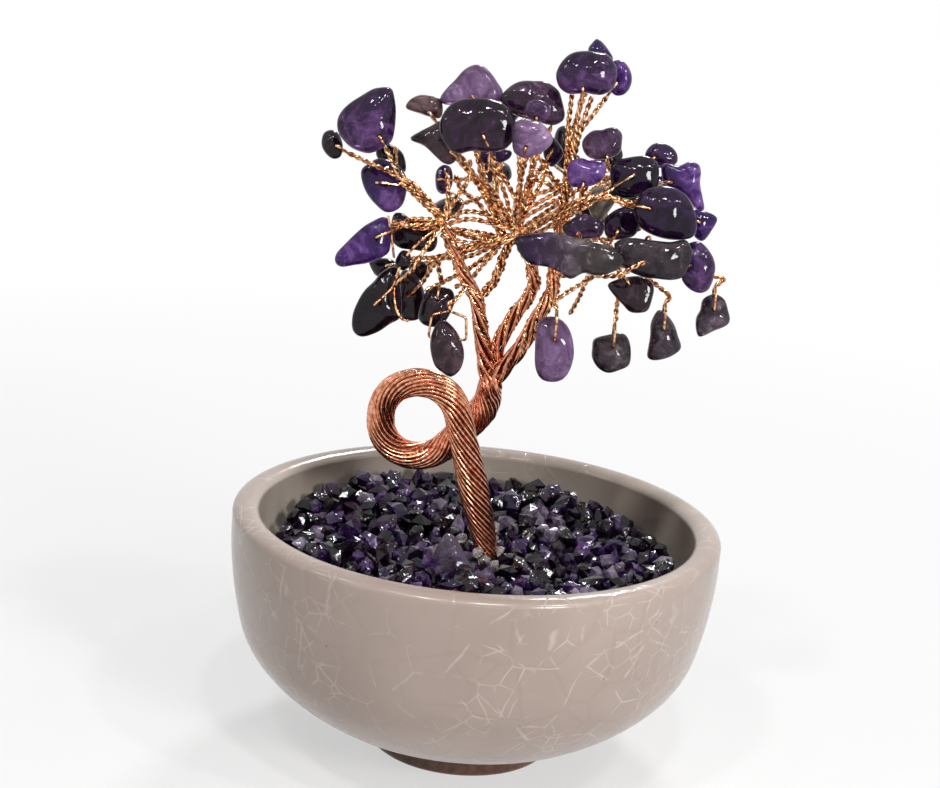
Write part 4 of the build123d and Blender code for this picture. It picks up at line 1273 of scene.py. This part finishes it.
# %% Sprays with stones
behaviour = frame["record"]["behaviour"]
free_bodies = {
    node: body for body, nodes in behaviour["bodies"].items() for node in nodes if body != "tree"
}
hinges = {joint["child"]: joint["pos_m"] for joint in behaviour["joints"]}
held = {}
counts = {}
for spray_name, (hub_name, bend_shares, rows) in sprays.items():
    hub = crown_place(hubs[hub_name])
    forks = [crown_place(b) for b in bend_shares]
    lines = []
    for row in rows:
        node = row[0]
        count = counts[node] = counts.get(node, -1) + 1
        key = f"{node}.{count}" if "chips" in node else node
        hinge = hinges.get(free_bodies.get(node))
        stone = Stone(row, forks[-1], sum(counts.values()) + len(counts), key, hinge)
        held.setdefault(node, []).append(stone)
        loose = Vector([dice.uniform(-0.5, 0.5) * mm for _ in range(3)])
        path = [hub + loose * 0.6] + [f + loose for f in forks]
        if hinge:
            path.append(stone.wire_end - stone.into * 1.4 * mm)
        path.append(stone.wire_end)
        line = even(through(path), wire_step)
        across, over = sides_of(line)
        ending = np.array(stone.thin[:])
        length = np.linalg.norm(np.diff(line, axis=0), axis=1).sum()
        facing = math.atan2(over[-1] @ ending, across[-1] @ ending)
        phase = facing + 2 * math.pi * length / pair_pitch
        out = strand(line, wire_radius, pair_pitch, phase)
        home = strand(line, wire_radius, pair_pitch, phase + math.pi)[::-1]
        eye = even(stone.eye(), wire_step)
        lines.append((np.concatenate([out, eye[1:-1], home]), wire_radius))
    name = spray_name.replace("twigs", "pairs").replace("wire", "pair")
    wires(name, lines, twig_copper_painted_light, "copper", spray_name)
for node, stones in held.items():
    mesh = joined(node, stones)
    mesh.materials.append(gems[slot_of[node]])
    name = "gem_" + node.replace("chips", "").replace("chip", "").strip("_").replace("__", "_")
    add_piece(name, mesh, free_bodies.get(node, "tree"), slot_of[node], node)
print("stones", sum(len(s) for s in held.values()))

# %% [markdown]
# ### Loose pairs between the knots
# Spare lengths are wrapped round the knots to hold them, and these cross the open middle
# of the crown. Each is set by spots of the photograph with the depth where it starts and
# ends, as shares of the crown's reach. Two are single wires.

# %% Loose wires
loose_pairs = [
    (-0.09, -0.12, [(441, 226), (428, 228), (415, 228), (392, 222)]),
    (-0.09, 0.00, [(441, 226), (470, 219), (500, 226), (520, 230)]),
    (-0.09, 0.00, [(441, 230), (475, 232), (505, 238)]),
    (-0.09, 0.00, [(441, 235), (470, 243), (500, 238)]),
    (0.00, 0.02, [(505, 240), (470, 256), (440, 258), (412, 258)]),
    (0.00, 0.00, [(500, 246), (470, 268), (447, 280), (425, 291)]),
    (0.00, 0.00, [(497, 250), (480, 268), (470, 280), (455, 287)]),
    (0.00, 0.00, [(500, 236), (475, 238), (455, 232)]),
    (-0.09, 0.00, [(441, 224), (447, 205), (448, 185), (447, 170)]),
    (-0.09, 0.00, [(443, 222), (455, 200), (468, 180), (470, 160)]),
    (0.00, 0.05, [(505, 236), (497, 215), (487, 190), (475, 150)]),
    (0.00, 0.00, [(503, 236), (492, 212), (478, 185), (470, 178)]),
    (0.00, 0.05, [(500, 234), (480, 205), (462, 190), (455, 175)]),
    (0.00, 0.03, [(518, 236), (520, 200), (519, 155)]),
    (0.03, 0.00, [(558, 190), (550, 174), (540, 158)]),
    (0.00, 0.20, [(520, 236), (545, 222), (570, 205), (600, 188), (630, 174), (652, 167)]),
    (-0.05, 0.10, [(516, 241), (543, 230), (568, 212), (598, 194), (626, 181), (640, 178)]),
    (0.05, 0.16, [(520, 229), (543, 214), (566, 198), (590, 182), (612, 176), (634, 166)]),
    (-0.06, 0.02, [(443, 221), (462, 212), (484, 214), (512, 228)]),
    (-0.06, -0.04, [(446, 228), (470, 232), (492, 244), (512, 240)]),
    (0.02, 0.10, [(512, 232), (508, 205), (500, 180), (492, 160)]),
    (0.02, 0.08, [(514, 230), (530, 205), (541, 182), (548, 162)]),
    (0.00, 0.05, [(525, 238), (555, 224), (585, 206), (597, 198)]),
    (0.05, 0.00, [(605, 196), (625, 203), (645, 199), (661, 203)]),
    (0.00, 0.00, [(600, 228), (609, 222), (618, 215)]),
    (-0.05, -0.05, [(601, 240), (615, 238), (632, 232), (640, 228)]),
    (-0.35, -0.35, [(588, 272), (600, 276), (620, 275), (632, 268), (645, 262)]),
    (0.02, 0.10, [(588, 276), (580, 296), (570, 314)]),
    (0.00, 0.03, [(523, 218), (542, 207), (560, 198)]),
    (0.00, 0.03, [(525, 210), (545, 199), (562, 190)]),
    (0.00, 0.03, [(527, 195), (544, 192), (560, 186)]),
    (0.00, 0.03, [(530, 178), (546, 183), (562, 192)]),
    (0.00, 0.03, [(532, 168), (548, 175), (563, 185)]),
    (0.03, 0.00, [(563, 196), (566, 165), (568, 130), (572, 95)]),
    (0.03, 0.00, [(567, 196), (575, 155), (582, 125), (592, 97)]),
]
single_wires = [
    (-0.12, -0.12, [(388, 216), (392, 240), (394, 258)]),
    (-0.09, -0.25, [
        (441, 226), (424, 238), (408, 254), (398, 272), (394, 290), (396, 308), (401, 318),
        (408, 321),
    ]),
]


def read_line(first, last, spots):
    """A smooth line through spots of the photograph, from one depth to another."""
    depths = np.linspace(first, last, len(spots)) * crown_reach
    places = [seen_at(*spot, depth) for spot, depth in zip(spots, depths)]
    return even(through(places), wire_step)


lines = []
for row in loose_pairs:
    lines += pair(read_line(*row), wire_radius, dice.uniform(0, 6))
lines += [(read_line(*row), wire_radius) for row in single_wires]
wires("loose_wires", lines, twig_copper_painted_light, "copper")
print("loose wires", len(lines))

# %% [markdown]
# ## Crushed stone
# What is left after the chips are sorted is crushed and poured round the root, wetted
# with clear glue so that it shines. A crushed piece is a small worn chip, and hundreds of
# them lie in two layers on the plaster. The heap is a little higher at the back. One large
# lilac chip stands up like a tooth in front of the root.

# %% Crushed stone
heap_reach = 29.0
root_room = 1.7
pale_reach, violet_reach = 3.4, 3.0
# How many, how far below the top, and the least and greatest size, in millimetres
heap_layers = [(200, 2.8, 2.1, 2.9), (400, 1.2, 1.4, 2.8)]
pale_spots = [(9.6, 16.0), (12.0, 11.5), (20.0, -2.0)]
violet_spots = [(6.0, -12.0), (-16.0, 4.0), (-10.0, 18.0)]
grain = bmesh.new()
bmesh.ops.create_icosphere(grain, subdivisions=1, radius=1)
grain_points = np.array([v.co[:] for v in grain.verts])
grain_faces = [tuple(v.index for v in f.verts) for f in grain.faces]
grain.free()


def heap_top(x, y):
    """How high the crushed stone lies, in metres, at a place of the bowl in millimetres."""
    corner = max(0.0, 1 - math.dist((x, y), (-19, 18)) / 16)
    return (29.5 + 2.8 * max(-0.1, (y + 5) / 33) + 1.4 * corner) * mm


def chip_of(place, size, rng, sizes=(1.0, 0.78, 0.58)):
    """Points of one crushed piece, turned at random."""
    radius = worn(grain_points, rng, 8, 0.5, 0.85, 30) * rng.uniform(0.86, 1.1, len(grain_points))
    form = grain_points * radius[:, None] * np.array(sizes)
    turn, _ = np.linalg.qr(rng.normal(size=(3, 3)))
    return np.array(place) + form @ turn * size


wet_tones = {
    "gravel_dark": (shown(8, 3, 11), shown(27, 16, 32), shown(88, 64, 92)),
    "gravel_violet": (shown(18, 7, 32), shown(46, 25, 70), shown(134, 94, 164)),
    "gravel_pale": (shown(58, 44, 66), shown(112, 96, 122), shown(190, 176, 194)),
}
rng = np.random.default_rng(11)
heaps = {node: ([], []) for node in wet_tones}
golden = math.pi * (3 - math.sqrt(5))
for layer, (count, sunk, least, most) in enumerate(heap_layers):
    for i in range(count):
        size = rng.uniform(least, most)
        out = min(heap_reach * math.sqrt((i + 0.5) / count), heap_reach - size * 0.5)
        turn = i * golden + layer + rng.uniform(-0.06, 0.06)
        x, y = out * math.cos(turn), out * math.sin(turn)
        if math.dist((x, y), root_spot[:2]) < root_room + size * 0.6:
            continue
        z = heap_top(x, y) - sunk * mm + rng.uniform(-0.5, 0.4) * mm
        draw = rng.random()
        kind = "gravel_dark" if draw < 0.62 else "gravel_violet"
        if draw > 0.94 or min(math.dist((x, y), p) for p in pale_spots) < pale_reach:
            kind = "gravel_pale"
        elif min(math.dist((x, y), p) for p in violet_spots) < violet_reach:
            kind = "gravel_violet"
        light = float(np.clip(rng.normal(0.42, 0.22), 0, 1))
        heaps[kind][0].append(chip_of((x * mm, y * mm, z), size * mm, rng))
        heaps[kind][1].append(light)
tooth_spots = [
    (430, 574), (436, 549), (447, 533), (458, 541), (467, 558), (475, 572), (472, 583),
    (456, 580), (439, 577),
]
tooth = closed(tooth_spots)
tooth_centre = seen_at(*tooth.mean(axis=0), -5.2 * mm)
tooth_scale = shows_at(tooth_centre)[2] / focal_steps
form = outlined(tooth, tooth_scale, 1.7 * mm, rng) @ np.array([side_way[:], top_way[:], back[:]])
tooth_points = np.array(tooth_centre[:]) + form
for node, (forms, lights) in heaps.items():
    points, faces = list(np.concatenate(forms)), []
    for k in range(len(forms)):
        faces += [tuple(i + k * len(grain_points) for i in f) for f in grain_faces]
    marks = np.repeat(lights, len(grain_points))
    if node == "gravel_pale":
        faces += [tuple(i + len(points) for i in f) for f in ball_faces]
        points += list(tooth_points)
        marks = np.r_[marks, np.full(len(tooth_points), 0.1)]
    mesh = bpy.data.meshes.new(node)
    mesh.from_pydata([tuple(p) for p in points], [], faces)
    layer = mesh.attributes.new("light", "FLOAT", "POINT")
    layer.data.foreach_set("value", marks)
    mesh.materials.append(gem("wet_" + node, *wet_tones[node], shine=0.2, relief=0.14))
    add_piece(node.replace("gravel", "crushed"), mesh, "tree", slot_of[node], node)
    print(node, "pieces", len(forms))

# %% [markdown]
# ## Plaster and glue
# The plaster shows only through the gaps, stained by the stone dust. The glue sits round
# the root in a few clear beads.

# %% Plaster and glue
plaster = Finish("stained_plaster")
dusty, clean = shown(34, 26, 40), shown(66, 54, 70)
stain = plaster.ramp(plaster.noise(1.5 * mm), (0.3, dusty), (0.7, clean))
plaster.set(base_color=stain, roughness=0.8)
plaster_node = frame["nodes"]["plaster_fill"]
plaster_node.data.materials.clear()
plaster_node.data.materials.append(plaster.material)

glue = Finish("clear_glue")
glue.set(
    base_color=shown(206, 198, 198),
    roughness=glue.ramp(glue.noise(1 * mm), (0.3, 0.04), (0.8, 0.25)),
    transmission_weight=0.75,
    ior=1.47,
)
glue.bump(glue.noise(1.6 * mm, 2), 0.3 * mm)
# Across and down in the photograph, then depth and size in millimetres
drops = [
    (491, 540, 0.8, 1.9), (462, 538, 1.4, 1.3), (494, 567, -2.6, 1.5), (477, 553, -2.2, 1.2),
    (500, 551, -0.4, 1.2), (474, 528, 3.2, 1.4), (494, 526, 3.2, 1.4), (484, 562, -2.4, 1.2),
]
points, faces = [], []
for across, down, depth, size in drops:
    faces += [tuple(i + len(points) for i in f) for f in grain_faces]
    place = seen_at(across, down, depth * mm)
    points += list(chip_of(place[:], size * mm, rng, (1.0, 0.9, 0.8)))
glue_mesh = bpy.data.meshes.new("glue_beads")
glue_mesh.from_pydata([tuple(p) for p in points], [], faces)
glue_mesh.shade_smooth()
glue_mesh.materials.append(glue.material)
add_piece("glue_beads", glue_mesh, "tree", "clear_glue", "root_glue")

# %% [markdown]
# ## Bring the scene up to date
# The dressed tree must stay as large as the solid one. The last cell brings the scene up to date.

# %% Bring the scene up to date
bpy.context.view_layer.update()
